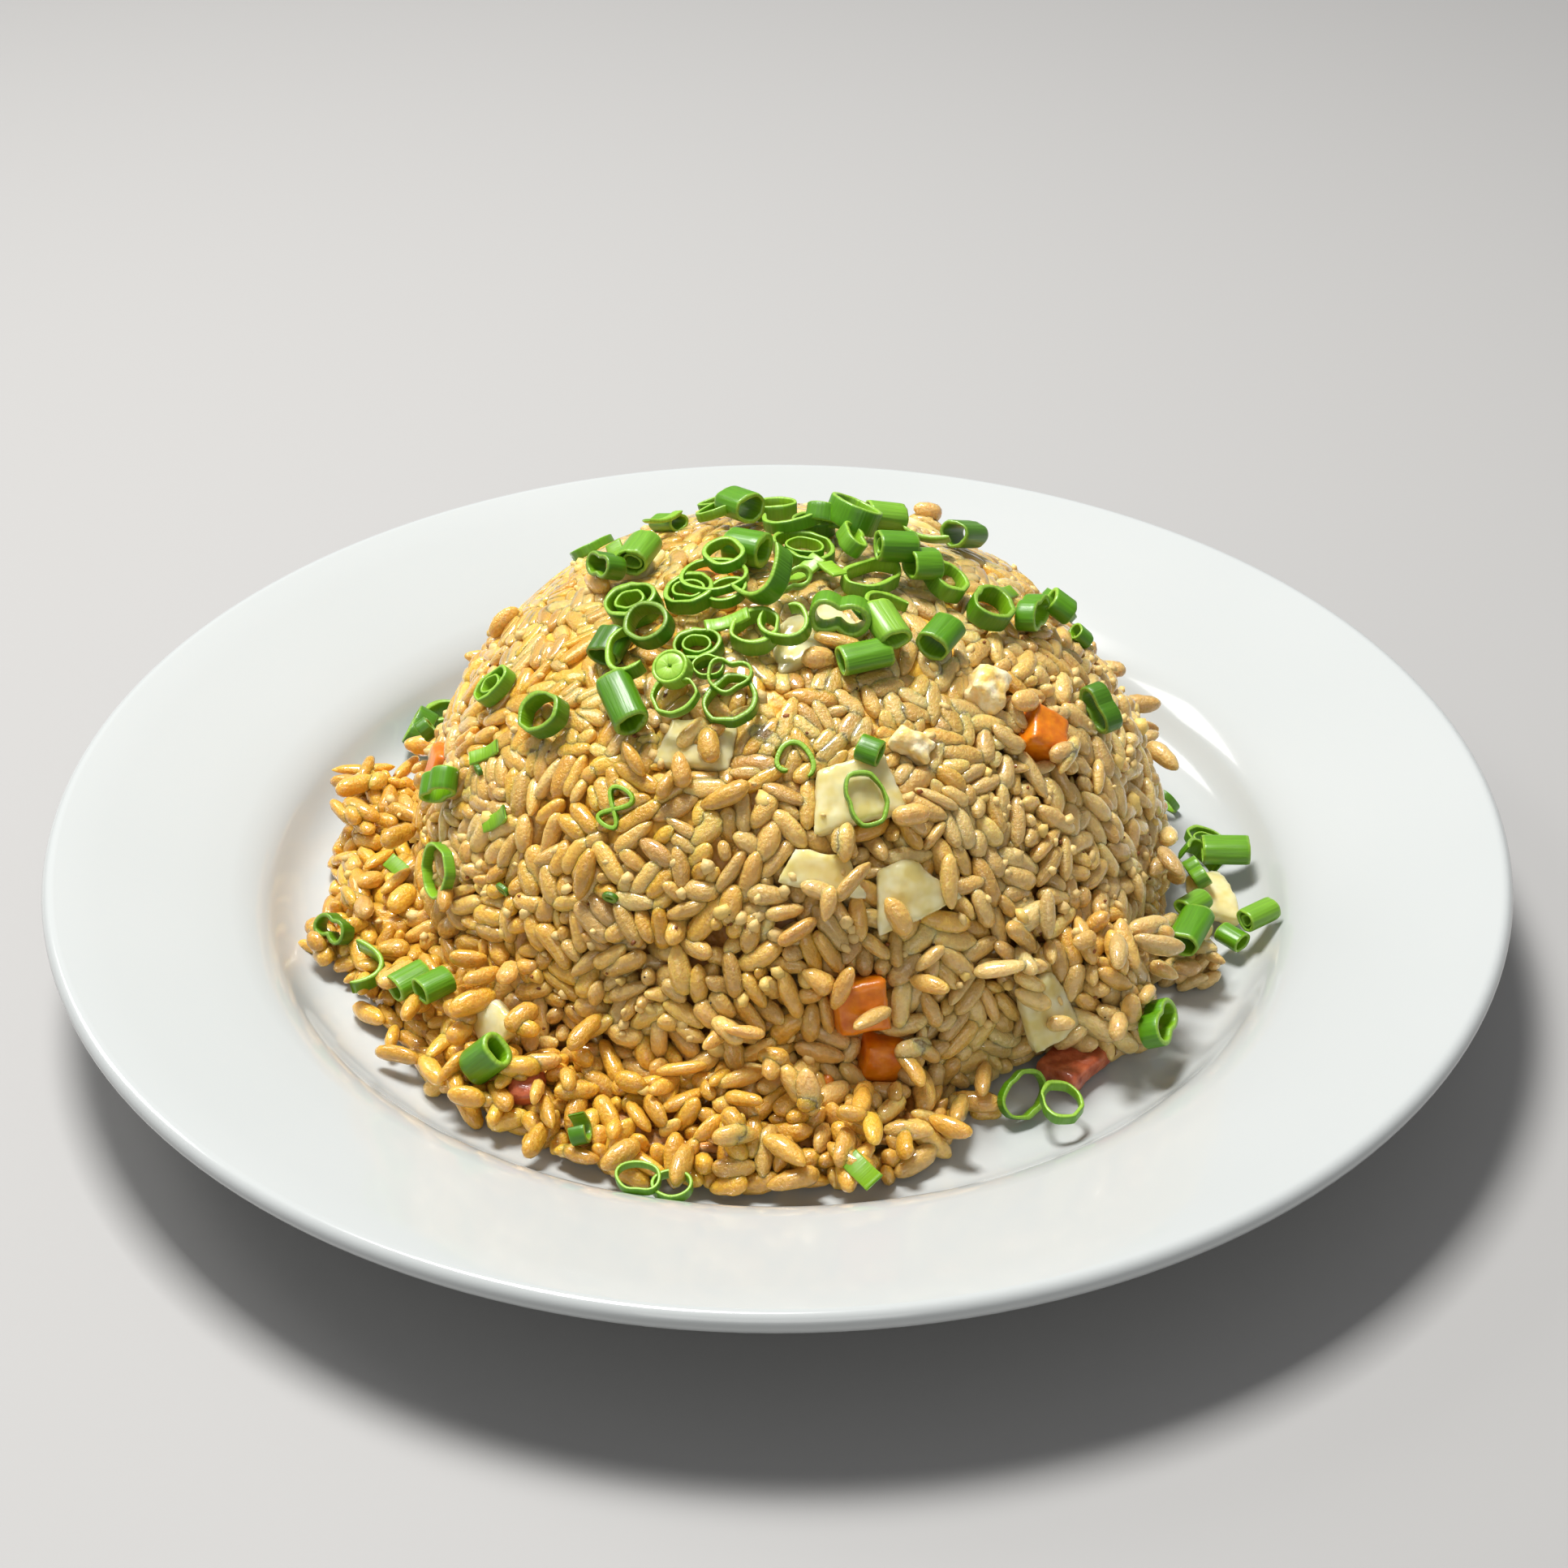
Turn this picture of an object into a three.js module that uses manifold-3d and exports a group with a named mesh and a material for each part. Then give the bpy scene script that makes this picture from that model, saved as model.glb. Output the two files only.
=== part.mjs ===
// A plate of fried rice: a wide-rimmed porcelain plate, a bowl-moulded dome of rice with a bank of fallen
// grains round its front and left, and the diced vegetables and sliced green onion in and on it.
// Millimetres, +Z up. The origin is on the plate's axis, on the table; -Y is the side the diner sees.
import * as THREE from "three";
import { mergeVertices } from "three/addons/utils/BufferGeometryUtils.js";
import Module from "manifold-3d";

const wasm = await Module();
wasm.setup();

// ---- driving dimensions -------------------------------------------------------------------------

const PLATE_RADIUS = 135;
const PLATE_HEIGHT = 28;
const WELL_RADIUS = 98; // where the rim turns down into the well
const WELL_EDGE_HEIGHT = 16;
const FLOOR_RADIUS = 84; // flat part of the well's floor
const FLOOR_HEIGHT = 6;
const LIP_ROUNDING = 1.9;
const FOOT_RADIUS = 79;
const FOOT_WIDTH = 4.5;
const FOOT_RECESS = 2.4;
const PLATE_SEGMENTS = 44;

const DOME_X = 2;
const DOME_Y = 3.6;
const DOME_RADIUS = 72.5;
const DOME_HEIGHT = 69;
const DOME_FULLNESS = 2.17; // 2 is an ellipsoid, more is squarer in the shoulder
const DOME_UNEVENNESS = 0.012; // of the radius

const CLEARANCE = 0.3; // gap kept between touching pieces
const CARROT_DICE = 9;
const ONION_LAYER = 3.6; // thickness of one layer of onion

// ---- materials ----------------------------------------------------------------------------------

const material = (color, roughness) => new THREE.MeshStandardMaterial({ color, roughness, metalness: 0 });
const PORCELAIN = material(0xe9edee, 0.15);
const RICE = material(0xd9ae62, 0.45);
const ONION = material(0xe6d9a6, 0.3);
const CARROT = material(0xe8690b, 0.35);
const EGG = material(0xf4dc94, 0.5);
const HAM = material(0xc0603c, 0.4);
const SCALLION = material(0x3f8c1c, 0.35);

// ---- solids and meshes --------------------------------------------------------------------------

// A closed geometry, placed by a matrix, as a manifold-3d solid.
function solidOf(geometry, matrix = new THREE.Matrix4()) {
  const loose = geometry.index ? geometry.toNonIndexed() : geometry;
  const bare = new THREE.BufferGeometry().setAttribute("position", loose.getAttribute("position").clone());
  const merged = mergeVertices(bare.applyMatrix4(matrix), 1e-3);
  return new wasm.Manifold(
    new wasm.Mesh({
      numProp: 3,
      vertProperties: merged.attributes.position.array,
      triVerts: new Uint32Array(merged.index.array),
    }),
  );
}

function geometryOf(solid) {
  const { vertProperties, triVerts, numProp, numVert } = solid.getMesh();
  const positions = new Float32Array(numVert * 3);
  for (let i = 0; i < numVert; i++) positions.set(vertProperties.subarray(i * numProp, i * numProp + 3), i * 3);
  return new THREE.BufferGeometry()
    .setAttribute("position", new THREE.BufferAttribute(positions, 3))
    .setIndex(new THREE.BufferAttribute(triVerts, 1));
}

function named(name, geometry, finish, matrix) {
  const mesh = new THREE.Mesh(geometry, finish);
  mesh.name = name;
  if (matrix) matrix.decompose(mesh.position, mesh.quaternion, mesh.scale);
  return mesh;
}

// A closed geometry from rows of points, each row a closed ring or section of the same length, capped at both ends.
function skinned(rows) {
  const size = rows[0].length;
  const index = [];
  for (let i = 0; i + 1 < rows.length; i++) {
    for (let j = 0; j < size; j++) {
      const [a, b] = [i * size + j, i * size + ((j + 1) % size)];
      index.push(a, b, a + size, b, b + size, a + size);
    }
  }
  const last = (rows.length - 1) * size;
  for (let j = 1; j + 1 < size; j++) {
    index.push(0, j + 1, j, last, last + j, last + j + 1);
  }
  const points = rows.flat();
  return new THREE.BufferGeometry().setFromPoints(points).setIndex(index);
}

// ---- plate --------------------------------------------------------------------------------------

// Half of the plate's section, from the middle of the floor out over the rim and back under the foot.
function plateProfile() {
  const rimSlope = Math.atan2(PLATE_HEIGHT - WELL_EDGE_HEIGHT, PLATE_RADIUS - WELL_RADIUS);
  const lip = new THREE.Vector2(PLATE_RADIUS - LIP_ROUNDING, PLATE_HEIGHT - LIP_ROUNDING);
  const shoulder = 5; // length over which the rim rounds into the well's wall
  const path = new THREE.Path();
  path.moveTo(0, FLOOR_HEIGHT);
  path.lineTo(FLOOR_RADIUS, FLOOR_HEIGHT);
  path.bezierCurveTo(
    FLOOR_RADIUS + 6.5,
    FLOOR_HEIGHT,
    WELL_RADIUS - 5.5,
    FLOOR_HEIGHT + 2.6,
    WELL_RADIUS - 2.6,
    WELL_EDGE_HEIGHT - 3.4,
  );
  path.quadraticCurveTo(
    WELL_RADIUS - 0.4,
    WELL_EDGE_HEIGHT - 0.6,
    WELL_RADIUS + shoulder * Math.cos(rimSlope),
    WELL_EDGE_HEIGHT + shoulder * Math.sin(rimSlope),
  );
  path.absarc(lip.x, lip.y, LIP_ROUNDING, Math.PI / 2 + rimSlope, rimSlope - Math.PI / 2, true);
  path.lineTo(WELL_RADIUS + 8, WELL_EDGE_HEIGHT - 2.8);
  path.quadraticCurveTo(WELL_RADIUS + 1, WELL_EDGE_HEIGHT - 5, FOOT_RADIUS + 12, FOOT_RECESS + 1.8);
  path.quadraticCurveTo(FOOT_RADIUS + 5, FOOT_RECESS, FOOT_RADIUS + 1.2, FOOT_RECESS - 0.6);
  path.lineTo(FOOT_RADIUS, 0);
  path.lineTo(FOOT_RADIUS - FOOT_WIDTH, 0);
  path.lineTo(FOOT_RADIUS - FOOT_WIDTH - 1.5, FOOT_RECESS);
  path.lineTo(0, FOOT_RECESS);
  return path.getPoints(4);
}

function plateGeometry() {
  return new THREE.LatheGeometry(plateProfile().reverse(), PLATE_SEGMENTS).rotateX(Math.PI / 2);
}

// ---- dome of rice -------------------------------------------------------------------------------

const radians = THREE.MathUtils.degToRad;

// Distance from the middle of the dome's base to its smooth surface, at an angle down from the top.
function domeReach(down) {
  const across = Math.pow(Math.abs(Math.sin(down)) / DOME_RADIUS, DOME_FULLNESS);
  const up = Math.pow(Math.abs(Math.cos(down)) / DOME_HEIGHT, DOME_FULLNESS);
  return Math.pow(across + up, -1 / DOME_FULLNESS);
}

// A point of the dome's smooth surface, with azimuth counted from +X and down from the top, in radians.
function domePoint(azimuth, down, scale = 1) {
  const reach = domeReach(down) * scale;
  return new THREE.Vector3(
    DOME_X + reach * Math.sin(down) * Math.cos(azimuth),
    DOME_Y + reach * Math.sin(down) * Math.sin(azimuth),
    FLOOR_HEIGHT + CLEARANCE + reach * Math.cos(down),
  );
}

// Low swells of the moulded surface, deeper towards the base where the grains have slipped.
function domeSwell(azimuth, down) {
  const long = Math.sin(3 * azimuth + 1.1) * Math.sin(2.6 * down);
  const short = Math.sin(7 * azimuth - 4 * down) + Math.sin(11 * azimuth + 5 * down + 2);
  const slipped = Math.pow(Math.sin(down), 3);
  return 1 + DOME_UNEVENNESS * (0.5 * long * Math.sin(down) + 0.5 * short * slipped);
}

function domeGeometry() {
  const [around, rows] = [36, 12];
  const rings = [];
  for (let i = 0; i < rows; i++) {
    const down = radians(90 * (1 - i / rows));
    const ring = [];
    for (let j = 0; j < around; j++) {
      const azimuth = (2 * Math.PI * j) / around;
      ring.push(domePoint(azimuth, down, domeSwell(azimuth, down)));
    }
    rings.push(ring);
  }
  return skinned(rings);
}

// ---- bank of fallen rice ------------------------------------------------------------------------

// Stations round the dome: azimuth in degrees, the toe's distance from the dome's axis, and the crest's height.
const BANK = [
  [163, 75, 4],
  [172, 85, 13],
  [180, 90, 15],
  [192, 91.5, 11],
  [208, 89, 9],
  [222, 91, 8],
  [240, 93, 9],
  [256, 94.5, 12],
  [272, 93.5, 12],
  [284, 90, 10],
  [291, 85, 6],
  [296, 76, 3],
];

// Heights across the bank from inside the dome to the toe, as shares of its width and crest.
const BANK_SECTION = [
  [-0.9, 0.8],
  [-0.1, 1],
  [0.3, 0.98],
  [0.62, 0.78],
  [0.88, 0.42],
  [1, 0.1],
];

function bankGeometry() {
  const rows = BANK.flatMap(([azimuth, toe, crest], i) => {
    const next = BANK[i + 1];
    if (!next) return [[azimuth, toe, crest]];
    const half = 0.5;
    const lump = i % 2 ? 1.3 : -1.1; // the bank is a row of small clumps
    return [
      [azimuth, toe, crest],
      [
        THREE.MathUtils.lerp(azimuth, next[0], half),
        THREE.MathUtils.lerp(toe, next[1], half) + lump,
        THREE.MathUtils.lerp(crest, next[2], half) + lump,
      ],
    ];
  });
  const sections = rows.map(([azimuth, toe, crest]) => {
    const angle = radians(azimuth);
    const width = toe - (DOME_RADIUS - 4);
    const at = (radius, height) =>
      new THREE.Vector3(
        DOME_X + radius * Math.cos(angle),
        DOME_Y + radius * Math.sin(angle),
        FLOOR_HEIGHT + CLEARANCE + height,
      );
    const top = BANK_SECTION.map(([across, up]) => at(DOME_RADIUS - 4 + across * width, up * crest));
    return [...top, at(toe, 0), at(DOME_RADIUS - 4 - 0.9 * width, 0)];
  });
  return skinned(sections);
}

// A rounded clump of rice leaning on the dome: azimuth, distance of its middle from the dome's axis, its
// half-width round the dome, its half-width across, and its height.
const CLUMPS = [
  { azimuth: -42, distance: 70, along: 15, across: 14, height: 26 },
  { azimuth: -23, distance: 78, along: 8, across: 9, height: 10 },
  { azimuth: 172, distance: 79, along: 9, across: 9, height: 17 },
  { azimuth: 100, distance: 70, along: 16, across: 9, height: 10 },
];

function clumpGeometry({ azimuth, distance, along, across, height }) {
  const [around, rows] = [12, 5];
  const turn = radians(azimuth);
  const rings = [];
  for (let i = 0; i < rows; i++) {
    const rise = (0.5 * Math.PI * i) / rows;
    const ring = [];
    for (let j = 0; j < around; j++) {
      const angle = (2 * Math.PI * j) / around;
      const lump = 1 + 0.08 * Math.sin(3 * angle + azimuth) + 0.05 * Math.sin(5 * angle + 4 * rise);
      const outward = across * lump * Math.cos(rise) * Math.cos(angle);
      const sideways = along * lump * Math.cos(rise) * Math.sin(angle);
      ring.push(
        new THREE.Vector3(
          DOME_X + (distance + outward) * Math.cos(turn) - sideways * Math.sin(turn),
          DOME_Y + (distance + outward) * Math.sin(turn) + sideways * Math.cos(turn),
          FLOOR_HEIGHT + CLEARANCE + height * Math.sin(rise),
        ),
      );
    }
    rings.push(ring);
  }
  return skinned(rings);
}

function riceSolid(plate) {
  const parts = [domeGeometry(), bankGeometry(), ...CLUMPS.map(clumpGeometry)];
  const heap = parts.map((part) => solidOf(part)).reduce((sum, part) => sum.add(part));
  return heap.subtract(plate.translate([0, 0, CLEARANCE]));
}

// ---- pieces set into the rice -------------------------------------------------------------------

// A diced piece with cut corners and slightly skewed sides. `grow` adds to every side, for its pocket.
function diceGeometry(width, depth, height, grow = 0) {
  const bevel = 0.7;
  const [w, d] = [width / 2 - bevel, depth / 2 - bevel];
  const outline = new THREE.Shape([
    new THREE.Vector2(-w * 1.02, -d * 0.94),
    new THREE.Vector2(w * 0.96, -d * 1.04),
    new THREE.Vector2(w * 1.05, d * 0.92),
    new THREE.Vector2(-w * 0.9, d * 1.02),
  ]);
  return new THREE.ExtrudeGeometry(outline, {
    depth: height - 2 * bevel,
    bevelSize: bevel + grow,
    bevelThickness: bevel + grow,
    bevelSegments: 1,
  }).translate(0, 0, bevel - height / 2);
}

// A piece of one onion layer: a curved slab cut from a ring of that layer. `taper` is how much narrower its
// upper edge is than its lower one, as a share of the width, and `skew` how far its sides lean.
function onionGeometry({ width, depth, taper = 0.15, skew = 0 }, grow = 0) {
  const bend = 1.6 * width; // radius of the onion's layer
  const half = Math.asin(width / 2 / bend) + grow / (1 - taper / 2) / bend;
  const steps = 5;
  const arc = (radius, from, to) =>
    Array.from({ length: steps }, (_, i) => {
      const angle = THREE.MathUtils.lerp(from, to, i / (steps - 1));
      return new THREE.Vector2(radius * Math.sin(angle), radius * Math.cos(angle) - bend);
    });
  const outer = arc(bend + ONION_LAYER / 2 + grow, -half, half);
  const inner = arc(bend - ONION_LAYER / 2 - grow, half * 0.92, -half);
  const slab = new THREE.ExtrudeGeometry(new THREE.Shape([...outer, ...inner]), {
    depth: depth + 2 * grow,
    bevelEnabled: false,
  })
    .rotateX(Math.PI / 2)
    .translate(0, depth / 2 + grow, 0);
  const points = slab.getAttribute("position");
  for (let i = 0; i < points.count; i++) {
    const [x, y] = [points.getX(i), points.getY(i)];
    points.setX(i, x * (1 - (taper * y) / depth) + skew * y);
  }
  return slab;
}

// Where a piece goes. On the dome it is given by azimuth and angle down from the top; in the bank or on the
// plate by azimuth, distance from the dome's axis and height above the well's floor. `turn` spins it about
// the way it faces, `tilt` leans it towards the top, and `out` is how far its middle stands out of the rice.
function placeOnDome({ azimuth, down, turn = 0, tilt = 0, out = 0 }) {
  const [a, d] = [radians(azimuth), radians(down)];
  const point = domePoint(a, d);
  const step = 1e-3;
  const uphill = domePoint(a, d - step).sub(point).normalize();
  const around = new THREE.Vector3(-Math.sin(a), Math.cos(a), 0);
  const facing = new THREE.Vector3().crossVectors(around, uphill).normalize();
  const basis = new THREE.Matrix4().makeBasis(around, uphill, facing);
  return new THREE.Matrix4()
    .makeTranslation(point.addScaledVector(facing, out))
    .multiply(basis)
    .multiply(new THREE.Matrix4().makeRotationX(radians(tilt)))
    .multiply(new THREE.Matrix4().makeRotationZ(radians(turn)));
}

function placeOnPlate({ azimuth, distance, height = 0, turn = 0, tilt = 0 }) {
  const a = radians(azimuth);
  return new THREE.Matrix4()
    .makeTranslation(
      DOME_X + distance * Math.cos(a),
      DOME_Y + distance * Math.sin(a),
      FLOOR_HEIGHT + CLEARANCE + height,
    )
    .multiply(new THREE.Matrix4().makeRotationZ(a + Math.PI / 2))
    .multiply(new THREE.Matrix4().makeRotationX(radians(tilt)))
    .multiply(new THREE.Matrix4().makeRotationZ(radians(turn)));
}

const place = (spot) => (spot.down === undefined ? placeOnPlate(spot) : placeOnDome(spot));

const ONIONS = [
  { azimuth: -77, down: 43.3, turn: 8, out: -0.4, width: 14, depth: 11, taper: 0.3, skew: 0.16 },
  { azimuth: -84.5, down: 53.6, turn: -14, out: -1.1, width: 12, depth: 6.5, taper: 0.5, skew: -0.2 },
  { azimuth: -71, down: 57.5, turn: 12, out: -0.8, width: 11, depth: 10, taper: 0.9, skew: -0.1 },
  { azimuth: -111, down: 37, turn: 8, out: -1.5, width: 12.5, depth: 9, taper: 0.2, skew: 0.15 },
  { azimuth: -78, down: 17, turn: 24, out: -1.1, width: 16, depth: 10, taper: 0.35, skew: 0.2 },
  { azimuth: 161, down: 26, turn: 80, out: -1.4, width: 12, depth: 10, taper: 0.3 },
  { azimuth: 60, down: 42, turn: 30, out: -0.9, width: 13, depth: 11, taper: 0.4 },
  { azimuth: 128, down: 58, turn: -25, out: -0.9, width: 12, depth: 10, taper: 0.6, skew: 0.1 },
  { azimuth: -53, distance: 73.5, height: 14, turn: 8, tilt: 66, width: 9, depth: 12, taper: 0.35 },
  { azimuth: -131, distance: 77.5, height: 10.5, turn: 60, tilt: 60, width: 8, depth: 8, taper: 0.4 },
];

// Lies loose on the plate beside the dome.
const FALLEN_ONION = { azimuth: -9, distance: 81, height: 9, turn: 20, tilt: 12, width: 12, depth: 8, taper: 0.4 };

const CARROTS = [
  { azimuth: -80, down: 72, turn: 6, tilt: -6, out: -2.4, size: 1 },
  { azimuth: -77, down: 81, turn: -10, tilt: 4, out: -3.0, size: 0.8 },
  { azimuth: -86, down: 84.5, turn: 24, tilt: 10, out: -2.6, size: 0.85 },
  { azimuth: -31, down: 46, turn: 35, tilt: 0, out: -2.2, size: 0.92 },
  { azimuth: -164, down: 12, turn: 20, tilt: 0, out: -2.8, size: 0.85 },
  { azimuth: -173, down: 65, turn: 15, tilt: 0, out: -3.4, size: 0.85 },
  { azimuth: 82, down: 60, turn: 40, tilt: 8, out: -2.4, size: 0.95 },
  { azimuth: 28, down: 68, turn: -20, tilt: 0, out: -2.8, size: 0.9 },
];

const EGGS = [
  { azimuth: -35, down: 36, turn: 20, tilt: 8, out: -0.6, width: 8, depth: 6.5, thick: 5.5 },
  { azimuth: -62, down: 38.5, turn: -50, tilt: 0, out: -0.8, width: 7.5, depth: 5, thick: 4.5 },
];

const HAMS = [
  { azimuth: -122.5, distance: 83, height: 6.6, turn: 30, tilt: 25, width: 6, depth: 6, thick: 4.5 },
  { azimuth: -50, distance: 77, height: 2.6, turn: 12, tilt: 0, width: 12, depth: 9, thick: 4 },
];

// Each kind's pieces as {name, geometry, pocket, finish, matrix}.
function setPieces() {
  const listed = (list, prefix, finish, shape) =>
    list.map((spot, i) => ({
      name: `${prefix}_${String(i + 1).padStart(2, "0")}`,
      geometry: shape(spot, 0),
      pocket: shape(spot, CLEARANCE),
      finish,
      matrix: place(spot),
    }));
  const chunk = ({ width, depth, thick }, grow) => diceGeometry(width, depth, thick, grow);
  return [
    ...listed(ONIONS, "onion", ONION, onionGeometry),
    ...listed(CARROTS, "carrot", CARROT, ({ size }, grow) =>
      diceGeometry(size * CARROT_DICE, size * CARROT_DICE, size * CARROT_DICE, grow),
    ),
    ...listed(EGGS, "egg", EGG, chunk),
    ...listed(HAMS, "ham", HAM, chunk),
  ];
}

// ---- sliced green onion -------------------------------------------------------------------------

// One closed loop of a leaf's section: an oval with a soft dent.
function leafLoop(radius, oval, dent) {
  const corners = 12;
  return Array.from({ length: corners }, (_, i) => {
    const angle = (2 * Math.PI * i) / corners;
    const reach = radius * (1 + oval * Math.cos(2 * angle) + dent * Math.sin(3 * angle + 0.6));
    return new THREE.Vector2(reach * Math.cos(angle), reach * Math.sin(angle));
  });
}

// A slice of a hollow leaf, standing on its cut face and centred on its own middle.
function leafGeometry({ radius, wall, length, oval = 0.08, dent = 0.04 }) {
  const outline = new THREE.Shape(leafLoop(radius, oval, dent));
  outline.holes.push(new THREE.Path(leafLoop(radius - wall, (oval * radius) / (radius - wall), dent)));
  return new THREE.ExtrudeGeometry(outline, { depth: length, bevelEnabled: false }).translate(0, 0, -length / 2);
}

// Rings lie on a cut face; tubes are longer and lie on their side.
const RINGS = [
  { azimuth: -167, down: 47, turn: 70, tilt: 0, radius: 4, wall: 1, length: 2.6, oval: 0.2, dent: 0.06 },
  { azimuth: -147, down: 43, turn: 25, tilt: 4, radius: 4.7, wall: 1.3, length: 3.4, oval: 0.14 },
  { azimuth: -105, down: 31, turn: 80, tilt: 0, radius: 5.1, wall: 1.2, length: 2.4, oval: 0.05 },
  { azimuth: -118, down: 33, turn: 10, tilt: 6, radius: 4.2, wall: 0.9, length: 1.8 },
  { azimuth: -76, down: 45, turn: 100, tilt: 0, radius: 4.4, wall: 0.8, length: 1.6, oval: 0.22 },
  { azimuth: -153, down: 71, turn: 20, tilt: 0, radius: 5.7, wall: 0.9, length: 2, oval: 0.08 },
  { azimuth: -11, down: 30, turn: 0, tilt: 0, radius: 4.7, wall: 1.3, length: 3.6 },
  { azimuth: -7, down: 23, turn: 40, tilt: 8, radius: 4.3, wall: 1.2, length: 3.2 },
  { azimuth: 38, down: 3, turn: 10, tilt: 0, radius: 5.6, wall: 1.1, length: 2.6, oval: 0.14 },
  { azimuth: -23, down: 13, turn: -30, tilt: 0, radius: 5.2, wall: 1.1, length: 2.8, oval: 0.2 },
  { azimuth: -145, down: 17, turn: 0, tilt: 0, radius: 4.9, wall: 1.2, length: 3 },
  { azimuth: -158, down: 24, turn: 50, tilt: 6, radius: 4.8, wall: 1.3, length: 3.8 },
  { azimuth: -122, down: 24, turn: 20, tilt: 0, radius: 4.2, wall: 1.1, length: 3 },
  { azimuth: -104, down: 19, turn: 60, tilt: 0, radius: 4.6, wall: 1.2, length: 3.4 },
  { azimuth: 97, down: 17, turn: 0, tilt: 0, radius: 4.1, wall: 1.1, length: 3 },
  { azimuth: 70, down: 11, turn: 30, tilt: 0, radius: 3.9, wall: 1, length: 2.8 },
  { azimuth: 5, distance: 82, height: 8, turn: 30, tilt: 10, radius: 4.2, wall: 0.9, length: 2.2 },
  { azimuth: -60, distance: 80, height: 8, turn: 30, tilt: 52, radius: 4.5, wall: 1, length: 2.2, oval: 0.12 },
  { azimuth: -57.5, distance: 86, height: 8, turn: 70, tilt: 6, radius: 4.2, wall: 0.9, length: 2, oval: 0.12 },
  { azimuth: 146, distance: 87, height: 8, turn: 0, tilt: 0, radius: 4.2, wall: 1.5, length: 4.2 },
];

const TUBES = [
  { azimuth: -130, down: 36, turn: 58, radius: 3.1, wall: 1.2, length: 10.5 },
  { azimuth: -65, down: 25, turn: 88, radius: 2.6, wall: 1, length: 9, oval: 0.12 },
  { azimuth: -38, down: 27, turn: 100, radius: 3.1, wall: 1.1, length: 7 },
  { azimuth: -7, down: 15, turn: 20, radius: 3, wall: 1.1, length: 7 },
  { azimuth: -175, down: 6, turn: 150, radius: 3.6, wall: 1.8, length: 7 },
  { azimuth: 118, down: 15, turn: 10, radius: 3.2, wall: 1.1, length: 7 },
  { azimuth: 44, down: 20, turn: 150, radius: 3, wall: 1, length: 7 },
  { azimuth: 31, down: 31, turn: 20, radius: 2.9, wall: 1, length: 8 },
  { azimuth: 170, down: 22, turn: 80, radius: 3.1, wall: 1.1, length: 7.5 },
  { azimuth: -1, distance: 84, height: 8, turn: 0, radius: 3, wall: 1.1, length: 9, oval: 0.18 },
  { azimuth: -15, distance: 90, height: 12, turn: 50, radius: 2.4, wall: 0.9, length: 7 },
  { azimuth: -25, distance: 80, height: 22, turn: 90, radius: 2.9, wall: 1, length: 10, oval: 0.15 },
  { azimuth: -146, distance: 81, height: 16, turn: 10, radius: 2.8, wall: 1, length: 7 },
];

// What lies loose, as {name, geometry, finish, matrix, landing}: landing is the way in which a piece settles
// on what is below it.
function loosePieces() {
  const loose = (name, spot, geometry, finish, roll = 0) => ({
    name,
    geometry,
    finish,
    matrix: place(spot).multiply(new THREE.Matrix4().makeRotationX(roll)),
    landing: new THREE.Vector3().setFromMatrixColumn(place({ ...spot, turn: 0, tilt: 0 }), 2).negate(),
  });
  const leaves = (list, prefix, roll) =>
    list.map((spot, i) =>
      loose(`${prefix}_${String(i + 1).padStart(2, "0")}`, spot, leafGeometry(spot), SCALLION, roll),
    );
  return [
    loose("onion_fallen", FALLEN_ONION, onionGeometry(FALLEN_ONION), ONION),
    ...leaves(RINGS, "scallion_ring"),
    ...leaves(TUBES, "scallion_tube", Math.PI / 2),
  ];
}

// The distance that a solid moves along `way`, from clear of everything, to stop CLEARANCE short of the rest.
function restingShift(solid, way, below) {
  const [start, search, precision] = [-14, 2, 0.02];
  const clear = (shift) => {
    const moved = solid.translate(way.x * shift, way.y * shift, way.z * shift);
    return below.every((other) => moved.minGap(other, search) >= CLEARANCE);
  };
  let low = start;
  while (clear(low + 1)) low += 1;
  let high = low + 1;
  while (high - low > precision) {
    const middle = (low + high) / 2;
    if (clear(middle)) low = middle;
    else high = middle;
  }
  return low;
}

// ---- assembly -----------------------------------------------------------------------------------

const serving = new THREE.Group();
const plateShape = plateGeometry();
const plate = solidOf(plateShape);
serving.add(named("plate", plateShape, PORCELAIN));

const set = setPieces();
const rice = set.reduce(
  (heap, piece) => heap.subtract(solidOf(piece.pocket, piece.matrix)),
  riceSolid(plate),
);
serving.add(named("rice_mound", geometryOf(rice), RICE));
for (const { name, geometry, finish, matrix } of set) serving.add(named(name, geometry, finish, matrix));

const settled = [plate, rice, ...set.map(({ geometry, matrix }) => solidOf(geometry, matrix))];
for (const { name, geometry, finish, matrix, landing } of loosePieces()) {
  const shift = restingShift(solidOf(geometry, matrix), landing, settled);
  const rested = new THREE.Matrix4().makeTranslation(landing.multiplyScalar(shift)).multiply(matrix);
  settled.push(solidOf(geometry, rested));
  serving.add(named(name, geometry, finish, rested));
}

export default serving;
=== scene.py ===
"""Looks of a plate of fried rice: grains over a smaller core, diced vegetables, sliced green onion.

Shapes are worked out in millimetres in the CAD frame and become metres when a mesh is made.
"""
import math
from itertools import product
from types import SimpleNamespace

import bmesh
import bpy
import numpy as np
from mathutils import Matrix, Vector
from mathutils.bvhtree import BVHTree
from mathutils.kdtree import KDTree


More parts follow.
